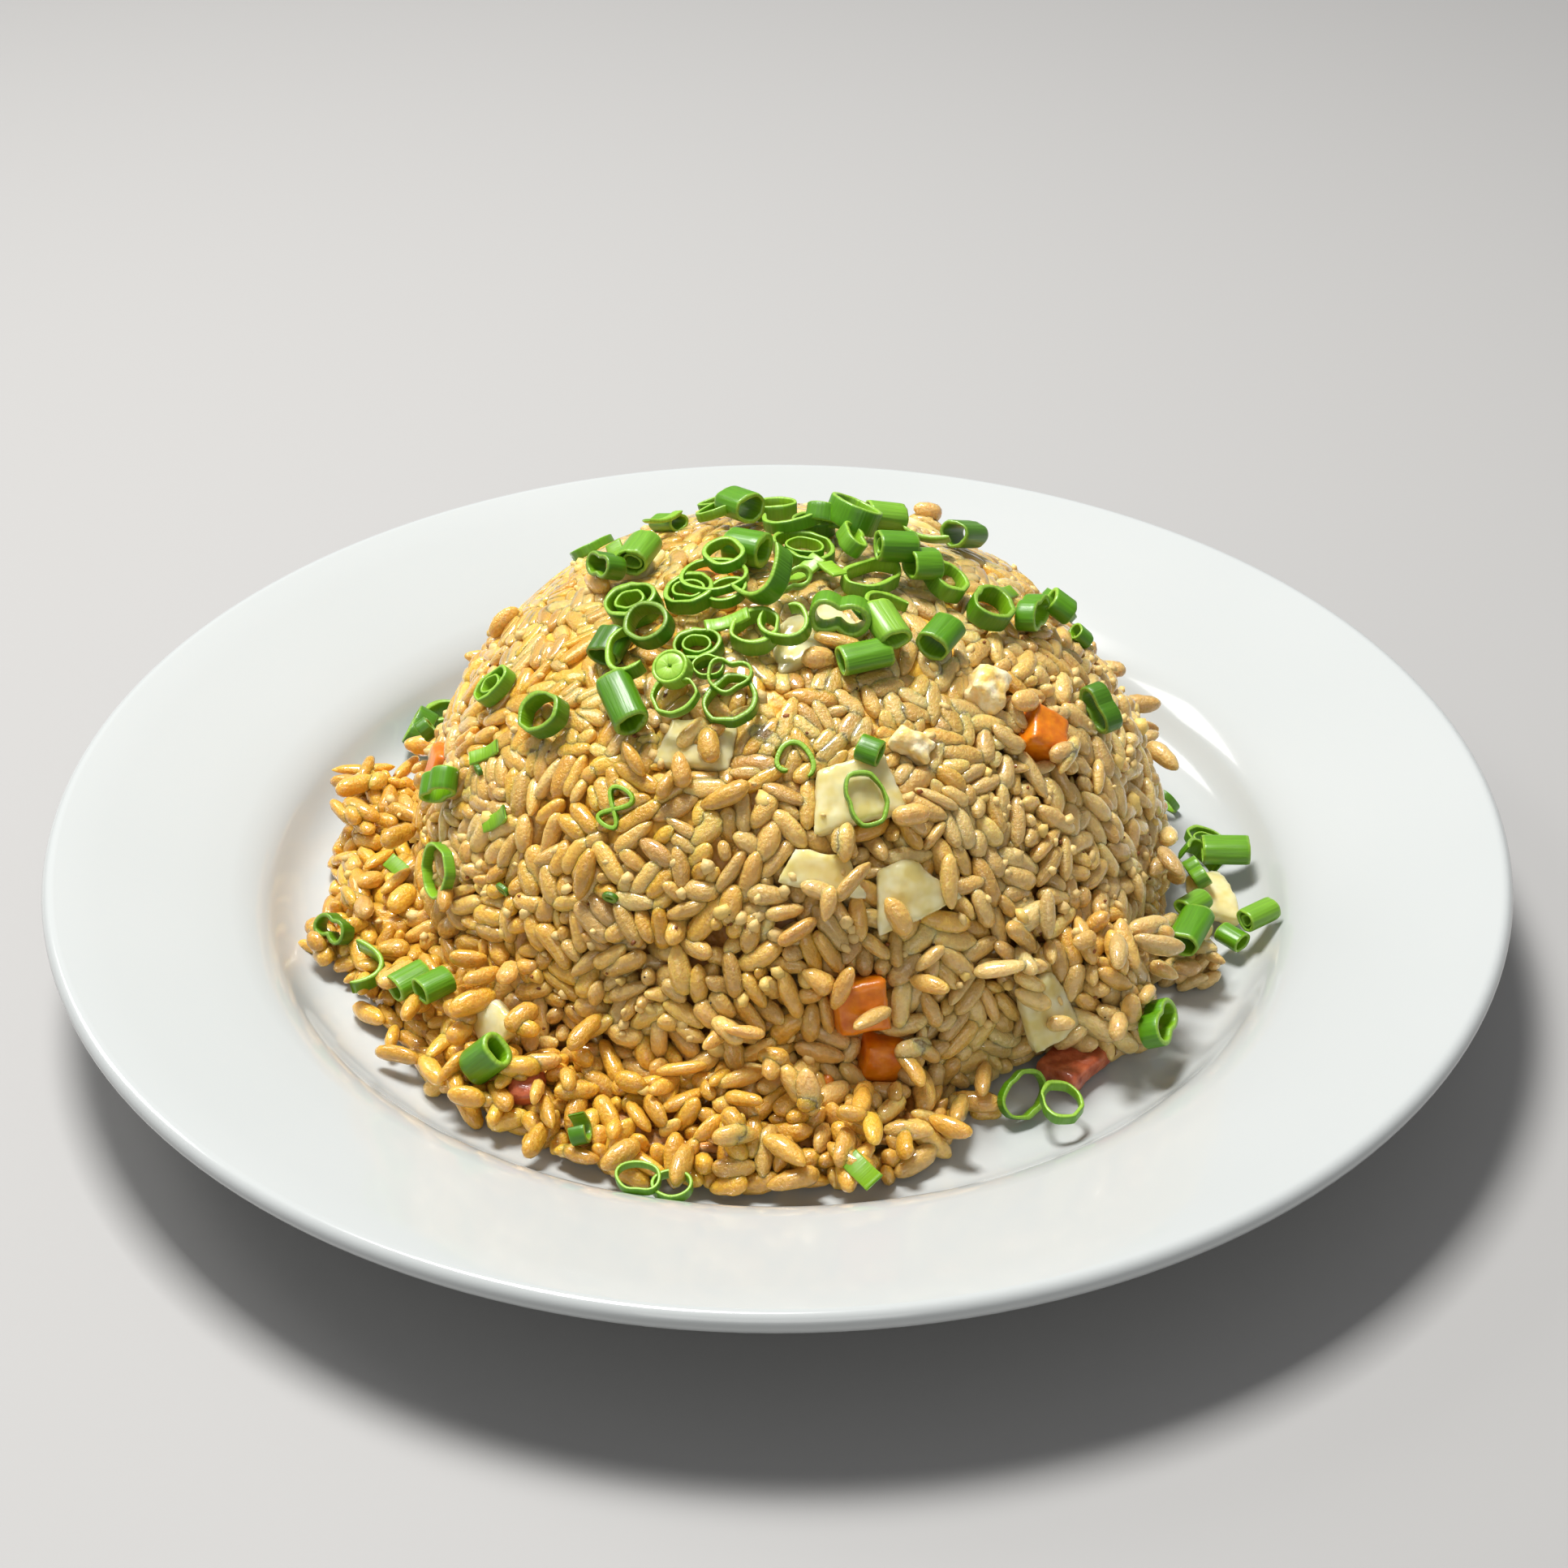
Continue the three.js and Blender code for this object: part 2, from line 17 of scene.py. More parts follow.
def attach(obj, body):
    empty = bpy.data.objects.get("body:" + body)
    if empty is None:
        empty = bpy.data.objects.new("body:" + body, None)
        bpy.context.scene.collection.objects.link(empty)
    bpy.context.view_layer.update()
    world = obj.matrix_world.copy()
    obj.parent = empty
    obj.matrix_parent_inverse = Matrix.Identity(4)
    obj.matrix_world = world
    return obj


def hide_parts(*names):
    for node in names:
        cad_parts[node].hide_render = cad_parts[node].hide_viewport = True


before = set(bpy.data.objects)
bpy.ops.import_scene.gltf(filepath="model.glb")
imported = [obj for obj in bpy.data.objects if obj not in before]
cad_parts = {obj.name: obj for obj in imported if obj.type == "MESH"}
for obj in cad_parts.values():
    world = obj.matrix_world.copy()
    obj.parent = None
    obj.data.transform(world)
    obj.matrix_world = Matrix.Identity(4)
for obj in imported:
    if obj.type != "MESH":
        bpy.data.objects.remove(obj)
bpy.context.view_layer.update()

MM = 0.001
DRAW = np.random.default_rng(20)

# The dome of rice, as the CAD has it.
DOME_CENTRE = np.array([2.0, 3.6, 6.3])
DOME_RADIUS = 72.5
DOME_HEIGHT = 69.0
DOME_FULLNESS = 2.17
FLOOR_HEIGHT = 6.0

# Cooked grains.
GRAIN_RADIUS = (1.5, 2.0)
GRAIN_HALF = (1.3, 2.8)  # half the distance between the middles of a grain's round ends
GRAIN_GIVE = 0.8  # share of its radius at which a soft grain stops another
SHELL_DEPTH = (4.2, 7.6)  # how deep the separate grains go, where pressed and where loose
PACKING = 1.02  # the grains' volume as a share of the shell's
CROWDING = 0.45  # how much closer the grains lie where pressed
RELAX_STEPS = 70
HOLE = 2.2  # from the middle of a hole between grains to the nearest grain's middle line
HOLE_SPACING = 3.4
BURIED = 5.0  # deeper than this below the outline, a grain hardly shows
PRESSED_LIMIT = 0.2  # how far a grain stands out of the outline where the mould pressed it
FINE_GRAIN = (10, 8)  # sides and rings of a grain that shows
BACK_GRAIN = (8, 6)  # the same behind the dome
PLAIN_GRAIN = (6, 5)  # the same of a buried grain
TRIALS = 900000  # random places that are tried for the first grains
HOLE_TRIALS = 500000  # and for those that fill holes
HOLE_DEPTH = (1.2, 2.8)  # how far below the outline holes are looked for
LAID_GRAINS = 260  # single grains on top
MISSED = 3.0  # a bit that ends further outside the outline than this has missed the heap

# Slices of green onion.
LOOP_STEPS = 40  # points round a slice that replaces one of the CAD's
LEAF_PILE = 2.6  # the most that a slice is raised by slices below it


# ---- general helpers ----------------------------------------------------------------------------


def linear(red, green, blue):
    """A colour of 0-255 screen values as linear light."""
    share = np.array([red, green, blue]) / 255.0
    return np.where(share <= 0.04045, share / 12.92, ((share + 0.055) / 1.055) ** 2.4)


def smoothstep(low, high, value):
    share = np.clip((value - low) / (high - low), 0, 1)
    return share * share * (3 - 2 * share)


def unit(vectors):
    return vectors / np.maximum(np.linalg.norm(vectors, axis=-1, keepdims=True), 1e-9)


def circle_angles(count):
    """Even steps round a whole turn."""
    return np.arange(count) * 2 * math.pi / count


def on_circle(angle):
    """Points at those angles on a circle of radius 1."""
    return np.stack([np.cos(angle), np.sin(angle)], 1)


def grid_corners(base, part):
    """The eight corners of each point's grid cell, and the share of each corner."""
    for corner in product((0, 1), repeat=3):
        yield (base + corner).T, np.prod(np.where(corner, part, 1 - part), axis=1)


def soft_noise(points, size, seed):
    """A smooth random field from -1 to 1, with lumps about `size` mm across."""
    count = 24
    lattice = np.random.default_rng(seed).uniform(-1, 1, (count, count, count))
    scaled = np.asarray(points) / size
    base = np.floor(scaled).astype(int)
    part = smoothstep(0, 1, scaled - base)
    total = np.zeros(len(base))
    for index, weight in grid_corners(base, part):
        total += weight * lattice[tuple(index % count)]
    return total


def quad_corners(rows, sides):
    """The row and the place along it of the four corners of each quad in a grid of quads."""
    row, side = np.indices((rows, sides)).reshape(2, -1, 1)
    return row + [0, 1, 1, 0], side + [0, 0, 1, 1]


def tube_quads(rows, sides, closed=False):
    """Quads between loops of `sides` points; with `closed`, the last loop joins the first."""
    row, side = quad_corners(rows if closed else rows - 1, sides)
    return row % rows * sides + side % sides


def fan(first, sides, tip):
    """Triangles from a loop of points, the first numbered `first`, to a tip."""
    one = np.arange(sides)
    return np.stack([first + one, first + (one + 1) % sides, np.full(sides, tip)], 1)


def new_object(name, data):
    """An object with that data, in the scene."""
    item = bpy.data.objects.new(name, data)
    bpy.context.scene.collection.objects.link(item)
    return item


def mesh_object(name, points, faces, material, colours=None, uv=None):
    """A smooth-shaded piece from points in mm and one or more arrays of equal-sided faces."""
    groups = [np.asarray(group) for group in (faces if isinstance(faces, list) else [faces])]
    corners = np.concatenate([group.ravel() for group in groups])
    sizes = np.concatenate([np.full(len(group), group.shape[1]) for group in groups])
    mesh = bpy.data.meshes.new(name)
    mesh.vertices.add(len(points))
    mesh.vertices.foreach_set("co", (np.asarray(points) * MM).astype(np.float32).ravel())
    mesh.loops.add(len(corners))
    mesh.loops.foreach_set("vertex_index", corners.astype(np.int32))
    mesh.polygons.add(len(sizes))
    starts = np.concatenate([[0], np.cumsum(sizes)[:-1]])
    mesh.polygons.foreach_set("loop_start", starts.astype(np.int32))
    mesh.polygons.foreach_set("use_smooth", np.ones(len(sizes), bool))
    mesh.update(calc_edges=True)
    mesh.validate()
    if colours is not None:
        tint = mesh.color_attributes.new("tint", "FLOAT_COLOR", "POINT")
        rgba = np.concatenate([colours, np.ones((len(colours), 1))], axis=1)
        tint.data.foreach_set("color", rgba.astype(np.float32).ravel())
    if uv is not None:
        layer = mesh.uv_layers.new(name="along")
        layer.data.foreach_set("uv", np.asarray(uv, np.float32).ravel())
    mesh.materials.append(material)
    piece = new_object(name, mesh)
    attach(piece, "root")
    return piece


def mesh_arrays(mesh):
    """A Blender mesh's points in mm and its triangles."""
    mesh.calc_loop_triangles()
    points = np.empty(len(mesh.vertices) * 3)
    mesh.vertices.foreach_get("co", points)
    triangles = np.empty(len(mesh.loop_triangles) * 3, np.int32)
    mesh.loop_triangles.foreach_get("vertices", triangles)
    return points.reshape(-1, 3) / MM, triangles.reshape(-1, 3)


def rounded_copy(node, voxel, passes):
    """A CAD node's mesh, remeshed evenly at `voxel` mm and smoothed, as points and triangles."""
    source = new_object("rounding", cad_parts[node].data.copy())
    remesh = source.modifiers.new("remesh", "REMESH")
    remesh.mode = "VOXEL"
    remesh.voxel_size = voxel * MM
    smooth = source.modifiers.new("smooth", "SMOOTH")
    smooth.iterations = passes
    evaluated = source.evaluated_get(bpy.context.evaluated_depsgraph_get())
    arrays = mesh_arrays(evaluated.to_mesh())
    evaluated.to_mesh_clear()
    bpy.data.objects.remove(source)
    return arrays


def face_normals(points, triangles):
    """Each triangle's normal, as long as twice its area."""
    first, second, third = (points[triangles[:, corner]] for corner in range(3))
    return np.cross(second - first, third - first)


def point_normals(points, triangles):
    face = face_normals(points, triangles)
    normals = np.zeros_like(points)
    for corner in range(3):
        np.add.at(normals, triangles[:, corner], face)
    return unit(normals)


# ---- materials ----------------------------------------------------------------------------------


class Shader:
    """A material with a Principled shader, and short ways to add nodes to it."""

    def __init__(self, name, roughness, soft=(), coat=(), **others):
        """soft: weight, scale and radius of the light inside; coat: its weight and roughness."""
        self.material = bpy.data.materials.new(name)
        self.material.use_nodes = True
        self.tree = self.material.node_tree
        self.surface = self.tree.nodes["Principled BSDF"]
        values = {"Roughness": roughness, **others}
        values.update(zip(("Subsurface_Weight", "Subsurface_Scale", "Subsurface_Radius"), soft))
        values.update(zip(("Coat_Weight", "Coat_Roughness"), coat))
        self.put(self.surface, {key.replace("_", " "): value for key, value in values.items()})

    def put(self, node, values):
        """Links the values that are sockets to the node's inputs, and sets the others."""
        for key, value in values.items():
            if isinstance(value, bpy.types.NodeSocket):
                self.tree.links.new(value, node.inputs[key])
            else:
                node.inputs[key].default_value = value

    def add(self, kind, inputs, **settings):
        node = self.tree.nodes.new(kind)
        for key, value in settings.items():
            setattr(node, key, value)
        self.put(node, inputs)
        return node

    def noise(self, size, detail=2.0, stretch=None, vector=None):
        """Noise with lumps about `size` mm across, from the object's own coordinates or another vector."""
        if vector is None:
            vector = self.add("ShaderNodeTexCoord", {}).outputs["Object"]
        if stretch is not None:
            mapping = self.add("ShaderNodeMapping", {"Vector": vector, "Scale": stretch})
            vector = mapping.outputs["Vector"]
        scale = 1.0 / (size * MM)
        node = self.add("ShaderNodeTexNoise", {"Vector": vector, "Scale": scale, "Detail": detail})
        return node.outputs["Fac"]

    def ramp(self, value, *stops):
        """Maps a value to colours or shades of grey at places from 0 to 1."""
        node = self.add("ShaderNodeValToRGB", {"Fac": value})
        for element, (place, colour) in zip(node.color_ramp.elements, stops):
            element.position = place
            element.color = (*np.broadcast_to(colour, 3), 1.0)
        return node.outputs["Color"]

    def mix(self, first, second, factor, mode="MIX"):
        node = self.add("ShaderNodeMix", {}, data_type="RGBA", blend_type=mode)
        self.put(node, {0: factor, 6: first, 7: second})
        return node.outputs[2]

    def tint(self):
        return self.add("ShaderNodeVertexColor", {}, layer_name="tint").outputs["Color"]

    def colour(self, value):
        self.put(self.surface, {"Base Color": value})

    def relief(self, height, depth):
        """The material, with fine relief `depth` mm deep."""
        node = self.add("ShaderNodeBump", {"Height": height, "Distance": depth * MM})
        self.put(self.surface, {"Normal": node.outputs["Normal"]})
        return self.material

    def two_tone(self, lumps, dark, light):
        """Colours the material dark to light by its lumps; dark and light: place on the ramp, colour."""
        self.colour(self.ramp(lumps, dark, light))


def rice_material():
    """Oily fried grains: each grain's own tint, soy-brown stains, and a thin wet coat."""
    light_inside = (0.75, 1.7 * MM, (1.0, 0.76, 0.45))
    shader = Shader("fried_rice", 0.32, light_inside, (1.0, 0.07), IOR=1.45, Transmission_Weight=0.12)
    stain = shader.ramp(shader.noise(5.0, 3.0), (0.58, 0.0), (0.82, 0.4))
    mottle = shader.ramp(shader.noise(1.1, 2.0), (0.3, 0.8), (0.7, 1.0))
    colour = shader.mix(shader.tint(), mottle, 1.0, "MULTIPLY")
    shader.colour(shader.mix(colour, (*linear(196, 130, 44), 1.0), stain))
    return shader.relief(shader.noise(0.55, 3.0), 0.36)


def core_material():
    shader = Shader("rice_core", 0.5, (0.5, 2.0 * MM, (1.0, 0.7, 0.3)), (0.15,))
    mottle = shader.ramp(shader.noise(1.8, 3.0), (0.3, 0.6), (0.7, 1.0))
    shader.colour(shader.mix(shader.tint(), mottle, 1.0, "MULTIPLY"))
    return shader.relief(shader.noise(1.6, 3.0), 0.6)


def porcelain_material():
    shader = Shader("porcelain", 0.16, coat=(0.4, 0.05), IOR=1.5)
    shader.two_tone(shader.noise(60.0, 1.0), (0.3, (0.475, 0.497, 0.493)), (0.7, (0.49, 0.51, 0.506)))
    return shader.relief(shader.noise(18.0, 1.0), 0.02)


def onion_material():
    light_inside = (0.7, 5.0 * MM, (1.0, 0.85, 0.5))
    shader = Shader("cooked_onion", 0.2, light_inside, (0.4, 0.1), IOR=1.36, Transmission_Weight=0.12)
    shader.two_tone(shader.noise(4.0, 2.0), (0.35, linear(230, 208, 130)), (0.65, linear(244, 232, 184)))
    return shader.relief(shader.noise(2.2, 1.0), 0.1)


def carrot_material():
    shader = Shader("carrot", 0.34, (0.2, 1.0 * MM, (1.0, 0.45, 0.1)), (0.2, 0.12))
    shader.two_tone(shader.noise(2.4, 3.0), (0.3, linear(206, 102, 0)), (0.7, linear(234, 138, 8)))
    return shader.relief(shader.noise(0.7, 2.0), 0.08)


def egg_material():
    shader = Shader("egg", 0.45, (0.3, 2.0 * MM, (1.0, 0.7, 0.35)), (0.2,))
    shader.two_tone(shader.noise(3.0, 3.0), (0.35, linear(243, 205, 108)), (0.65, linear(250, 236, 196)))
    return shader.relief(shader.noise(1.2, 3.0), 0.3)


def ham_material():
    shader = Shader("ham", 0.35, (0.2, 1.5 * MM), (0.3,))
    shader.two_tone(shader.noise(2.0, 3.0), (0.3, linear(150, 62, 30)), (0.7, linear(204, 112, 72)))
    return shader.relief(shader.noise(0.8, 3.0), 0.15)


def leaf_material():
    """Green onion: the tint tells skin from cut faces, and fine ridges run along the leaf."""
    shader = Shader("green_onion", 0.42, (0.2, 0.8 * MM, (0.6, 1.0, 0.1)), (0.15, 0.16))
    along = shader.add("ShaderNodeUVMap", {}, uv_map="along").outputs["UV"]
    ridges = shader.noise(0.5, 1.0, stretch=(1.0, 0.06, 1.0), vector=along)
    streak = shader.ramp(ridges, (0.3, 0.7), (0.7, 1.0))
    shader.colour(shader.mix(shader.tint(), streak, 0.7, "MULTIPLY"))
    return shader.relief(ridges, 0.1)


def crumb_material():
    shader = Shader("crumbs", 0.5, (0.15, 1.0 * MM, (1.0, 0.7, 0.35)))
    shader.colour(shader.mix(shader.tint(), shader.noise(0.6, 2.0), 0.2, "MULTIPLY"))
    return shader.relief(shader.noise(0.4, 2.0), 0.1)


# ---- plate --------------------------------------------------------------------------------------

PLATE_RADIUS = 135.0
PLATE_HEIGHT = 28.0
WELL_RADIUS = 98.0
WELL_EDGE_HEIGHT = 16.0
FLOOR_RADIUS = 84.0
LIP_ROUNDING = 1.9
FOOT_RADIUS = 79.0
FOOT_WIDTH = 4.5
FOOT_RECESS = 2.4
RIM_SLOPE = math.atan2(PLATE_HEIGHT - WELL_EDGE_HEIGHT, PLATE_RADIUS - WELL_RADIUS)


def bezier(count, *controls):
    """Points of a Bezier curve of any degree, without its first."""
    share = np.linspace(0, 1, count + 1)[1:, None]
    degree = len(controls) - 1
    return sum(
        math.comb(degree, i) * share**i * (1 - share) ** (degree - i) * np.array(control)
        for i, control in enumerate(controls)
    )


def plate_profile():
    """The plate's half section, the same curves as the CAD's but with more points."""
    lip = (PLATE_RADIUS - LIP_ROUNDING, PLATE_HEIGHT - LIP_ROUNDING)
    wall = (WELL_RADIUS - 2.6, WELL_EDGE_HEIGHT - 3.4)
    shoulder = 5.0
    rim = (
        WELL_RADIUS + shoulder * math.cos(RIM_SLOPE),
        WELL_EDGE_HEIGHT + shoulder * math.sin(RIM_SLOPE),
    )
    turn = np.linspace(math.pi / 2 + RIM_SLOPE, RIM_SLOPE - math.pi / 2, 14)
    lip_points = on_circle(turn) * LIP_ROUNDING + lip
    below = (WELL_RADIUS + 8, WELL_EDGE_HEIGHT - 2.8)
    haunch = (FOOT_RADIUS + 12, FOOT_RECESS + 1.8)
    foot = (FOOT_RADIUS + 1.2, FOOT_RECESS - 0.6)
    inner = FOOT_RADIUS - FOOT_WIDTH
    return np.concatenate(
        [
            [(0.0, FLOOR_HEIGHT), (20, FLOOR_HEIGHT), (50, FLOOR_HEIGHT), (70, FLOOR_HEIGHT)],
            [(80, FLOOR_HEIGHT), (FLOOR_RADIUS, FLOOR_HEIGHT)],
            bezier(
                12,
                (FLOOR_RADIUS, FLOOR_HEIGHT),
                (FLOOR_RADIUS + 6.5, FLOOR_HEIGHT),
                (WELL_RADIUS - 5.5, FLOOR_HEIGHT + 2.6),
                wall,
            ),
            bezier(10, wall, (WELL_RADIUS - 0.4, WELL_EDGE_HEIGHT - 0.6), rim),
            [np.array(rim) * (1 - t) + lip_points[0] * t for t in (0.25, 0.5, 0.75)],
            lip_points,
            [below],
            bezier(6, below, (WELL_RADIUS + 1, WELL_EDGE_HEIGHT - 5), haunch),
            bezier(6, haunch, (FOOT_RADIUS + 5, FOOT_RECESS), foot),
            [(FOOT_RADIUS + 0.1, 0.3), (FOOT_RADIUS - 0.4, 0), (inner + 0.4, 0), (inner - 0.1, 0.3)],
            [(inner - 1.5, FOOT_RECESS), (40, FOOT_RECESS), (0.0, FOOT_RECESS)],
        ]
    )


def plate_height(points):
    """Height of the plate's upper face below the points, in mm."""
    profile = plate_profile()
    upper = profile[: np.argmax(profile[:, 0])]
    return np.interp(np.hypot(points[:, 0], points[:, 1]), upper[:, 0], upper[:, 1])


def make_plate(surface):
    profile = plate_profile()
    around = 180
    angle = circle_angles(around)
    rings = profile[1:-1]
    points = np.empty((len(rings), around, 3))
    points[..., 0] = rings[:, :1] * np.cos(angle)
    points[..., 1] = rings[:, :1] * np.sin(angle)
    points[..., 2] = rings[:, 1:]
    points = points.reshape(-1, 3)
    top, bottom = len(points), len(points) + 1
    points = np.concatenate([points, [(0, 0, profile[0, 1]), (0, 0, profile[-1, 1])]])
    quads = tube_quads(len(rings), around)
    caps = [fan(0, around, top), fan((len(rings) - 1) * around, around, bottom)[:, ::-1]]
    finish = porcelain_material()
    plate = mesh_object("porcelain_plate", points, [quads, *caps], finish)
    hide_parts("plate")
    surface.include(points, [quads])


# ---- heap of rice -------------------------------------------------------------------------------


class HeapField:
    """Distance to the heap's outline in mm, negative inside, and its slope, read from a grid."""

    STEP = 2.0
    MARGIN = 8.0

    def __init__(self, points, triangles):
        tree = BVHTree.FromPolygons(points.tolist(), triangles.tolist())
        self.low = points.min(0) - self.MARGIN
        counts = np.ceil((points.max(0) + self.MARGIN - self.low) / self.STEP).astype(int) + 1
        axes = [self.low[k] + self.STEP * np.arange(counts[k]) for k in range(3)]
        nodes = np.stack(np.meshgrid(*axes, indexing="ij"), -1).reshape(-1, 3)
        values = np.empty(len(nodes))
        for i, node in enumerate(nodes):
            place = Vector(node)
            nearest, normal, _, distance = tree.find_nearest(place)
            values[i] = distance if (place - nearest).dot(normal) > 0 else -distance
        distance = values.reshape(counts)
        slopes = np.gradient(distance, self.STEP)
        self.grid = np.stack([distance, *slopes], -1)
        self.size = counts * self.STEP

    def at(self, points):
        """Distance and unit slope at the points."""
        scaled = (points - self.low) / self.STEP
        scaled = np.clip(scaled, 0, self.size / self.STEP - 1.001)
        base = scaled.astype(int)
        part = scaled - base
        total = np.zeros((len(points), 4))
        for index, weight in grid_corners(base, part):
            total += weight[:, None] * self.grid[tuple(index)]
        return total[:, 0], unit(total[:, 1:])


def dome_angles(points):
    """Azimuth from +X and angle down from the dome's top, in degrees, and distance from its axis."""
    offset = points - DOME_CENTRE
    across = np.hypot(offset[:, 0], offset[:, 1])
    azimuth = np.degrees(np.arctan2(offset[:, 1], offset[:, 0]))
    down = np.degrees(np.arctan2(across, np.maximum(offset[:, 2], 1e-3)))
    return azimuth, down, across


def pressed(points):
    """1 where the mould has pressed the grains flat, 0 where they stand loose."""
    azimuth, down, across = dome_angles(points)
    edge = 50 + 10 * np.cos(np.radians(azimuth + 170)) + 8 * soft_noise(points, 16.0, 3)
    on_dome = across < DOME_RADIUS + 1
    return np.where(on_dome, 1 - smoothstep(edge - 12, edge + 10, down), 0.0)


def shell_depth(press):
    """How deep the separate grains go."""
    return SHELL_DEPTH[1] + (SHELL_DEPTH[0] - SHELL_DEPTH[1]) * press


def close_pairs(points, reach):
    """Every pair of points whose cells of size `reach` touch, as two index arrays."""
    cell = np.floor(points / reach).astype(np.int64)
    cell -= cell.min(0) - 1
    span = cell.max(0) + 2
    key = (cell[:, 0] * span[1] + cell[:, 1]) * span[2] + cell[:, 2]
    order = np.argsort(key, kind="stable")
    filled, start, count = np.unique(key[order], return_index=True, return_counts=True)
    firsts, seconds = [], []
    for offset in product((-1, 0, 1), repeat=3):
        if offset < (0, 0, 0):
            continue
        target = filled + (offset[0] * span[1] + offset[1]) * span[2] + offset[2]
        place = np.minimum(np.searchsorted(filled, target), len(filled) - 1)
        here = np.nonzero(filled[place] == target)[0]
        there = place[here]
        combos = count[here] * count[there]
        which = np.repeat(np.arange(len(here)), combos)
        local = np.arange(combos.sum()) - np.repeat(np.cumsum(combos) - combos, combos)
        width = count[there][which]
        first = order[start[here][which] + local // width]
        second = order[start[there][which] + local % width]
        keep = first < second if offset == (0, 0, 0) else slice(None)
        firsts.append(first[keep])
        seconds.append(second[keep])
    first, second = np.concatenate(firsts), np.concatenate(seconds)
    near = ((points[first] - points[second]) ** 2).sum(1) < reach * reach
    return first[near], second[near]


class Grains:
    """Grains as short rods with round ends, that push each other apart inside the heap's outline."""

    BEADS = np.array([-1.0, -1 / 3, 1 / 3, 1.0])  # places along a rod that feel contact

    def __init__(self, field):
        self.field = field
        trial, depth = self.spots(TRIALS)
        press = pressed(trial)
        inside = (depth < -1.0) & (depth > -shell_depth(press))
        inside &= DRAW.random(len(trial)) < (1 + CROWDING * press) / (1 + CROWDING)
        shell = inside.mean() * np.prod(field.size) * (1 + CROWDING)
        radius, half = np.mean(GRAIN_RADIUS), np.mean(GRAIN_HALF)
        volume = math.pi * radius**2 * (2 * half + 4 / 3 * radius)
        self.add(trial[inside][: int(PACKING * shell / volume)])

    def spots(self, number):
        """Places anywhere in the field, and how far outside the outline they are."""
        places = self.field.low + DRAW.random((number, 3)) * self.field.size
        return places, self.field.at(places)[0]

    def add(self, centre):
        """Grains of many sizes at those places, lying mostly along the surface."""
        number = len(centre)
        slope, press = self.field.at(centre)[1], pressed(centre)
        radius, half = DRAW.uniform(*GRAIN_RADIUS, number), DRAW.uniform(*GRAIN_HALF, number)
        broken = DRAW.random(number) < 0.2
        half[broken] *= DRAW.uniform(0.15, 0.7, broken.sum())
        radius[broken] *= DRAW.uniform(0.65, 1.0, broken.sum())
        lie = DRAW.normal(size=(number, 3))
        lean = np.einsum("ij,ij->i", lie, slope) * (0.55 + 0.4 * press)
        bumpy = soft_noise(centre, 9.0, 5) * 0.7 + 0.1
        added = {
            "centre": centre,
            "press": press,
            "inner": shell_depth(press),
            "radius": radius,
            "half": half,
            "axis": unit(lie - slope * lean[:, None]),
            "stand_out": (1 - press) * (bumpy + DRAW.uniform(-0.4, 0.5, number)) + press * 0.25,
        }
        for name, values in added.items():
            setattr(self, name, np.concatenate([getattr(self, name, values[:0]), values]))

    def fill_gaps(self):
        """Adds a grain wherever a hole is left between the grains near the surface."""
        trial, depth = self.spots(HOLE_TRIALS)
        trial = trial[(depth < -HOLE_DEPTH[0]) & (depth > -HOLE_DEPTH[1])]
        place = self.beads().reshape(-1, 3)
        tree = KDTree(len(place))
        for k, point in enumerate(place):
            tree.insert(point, k)
        tree.balance()
        filled = np.zeros((0, 3))
        for point in trial:
            far = not len(filled) or np.linalg.norm(filled - point, axis=1).min() > HOLE_SPACING
            if far and tree.find(point)[2] > HOLE:
                filled = np.vstack([filled, point])
        self.add(filled)

    def beads(self):
        reach = self.BEADS[None, :, None] * self.half[:, None, None]
        return self.centre[:, None] + reach * self.axis[:, None]

    def relax(self, steps):
        """Moves the rods until few overlap."""
        per = len(self.BEADS)
        radius = np.repeat(self.radius * GRAIN_GIVE * (1 - 0.16 * self.press), per)
        owner = np.repeat(np.arange(len(self.centre)), per)
        stand_out = np.repeat(self.stand_out, per)
        inner = np.repeat(self.inner, per)
        press = np.repeat(self.press, per)
        reach = 2 * GRAIN_RADIUS[1] + 0.6
        for step in range(steps):
            place = self.beads().reshape(-1, 3)
            if step % 6 == 0:
                first, second = close_pairs(place, reach)
                other = owner[first] != owner[second]
                first, second = first[other], second[other]
            apart = place[second] - place[first]
            distance = np.linalg.norm(apart, axis=1)
            overlap = radius[first] + radius[second] - distance
            touching = overlap > 0
            a, b = first[touching], second[touching]
            share = 0.5 * overlap[touching] / np.maximum(distance[touching], 1e-3)
            push = apart[touching] * share[:, None]
            total = len(place)
            contacts = np.maximum(np.bincount(a, minlength=total) + np.bincount(b, minlength=total), 1)
            for k in range(3):
                moved = np.bincount(b, push[:, k], total) - np.bincount(a, push[:, k], total)
                place[:, k] += 1.4 * moved / contacts
            depth, slope = self.field.at(place)
            outward = np.clip(-inner - depth, 0, None) * 0.4 + 0.03 + 0.03 * press
            inward = np.clip(depth + radius - stand_out, 0, None)
            place += slope * (outward - inward)[:, None]
            place = place.reshape(-1, per, 3)
            self.centre = place.mean(1)
            self.axis = unit(np.einsum("j,ijk->ik", self.BEADS, place - self.centre[:, None]))


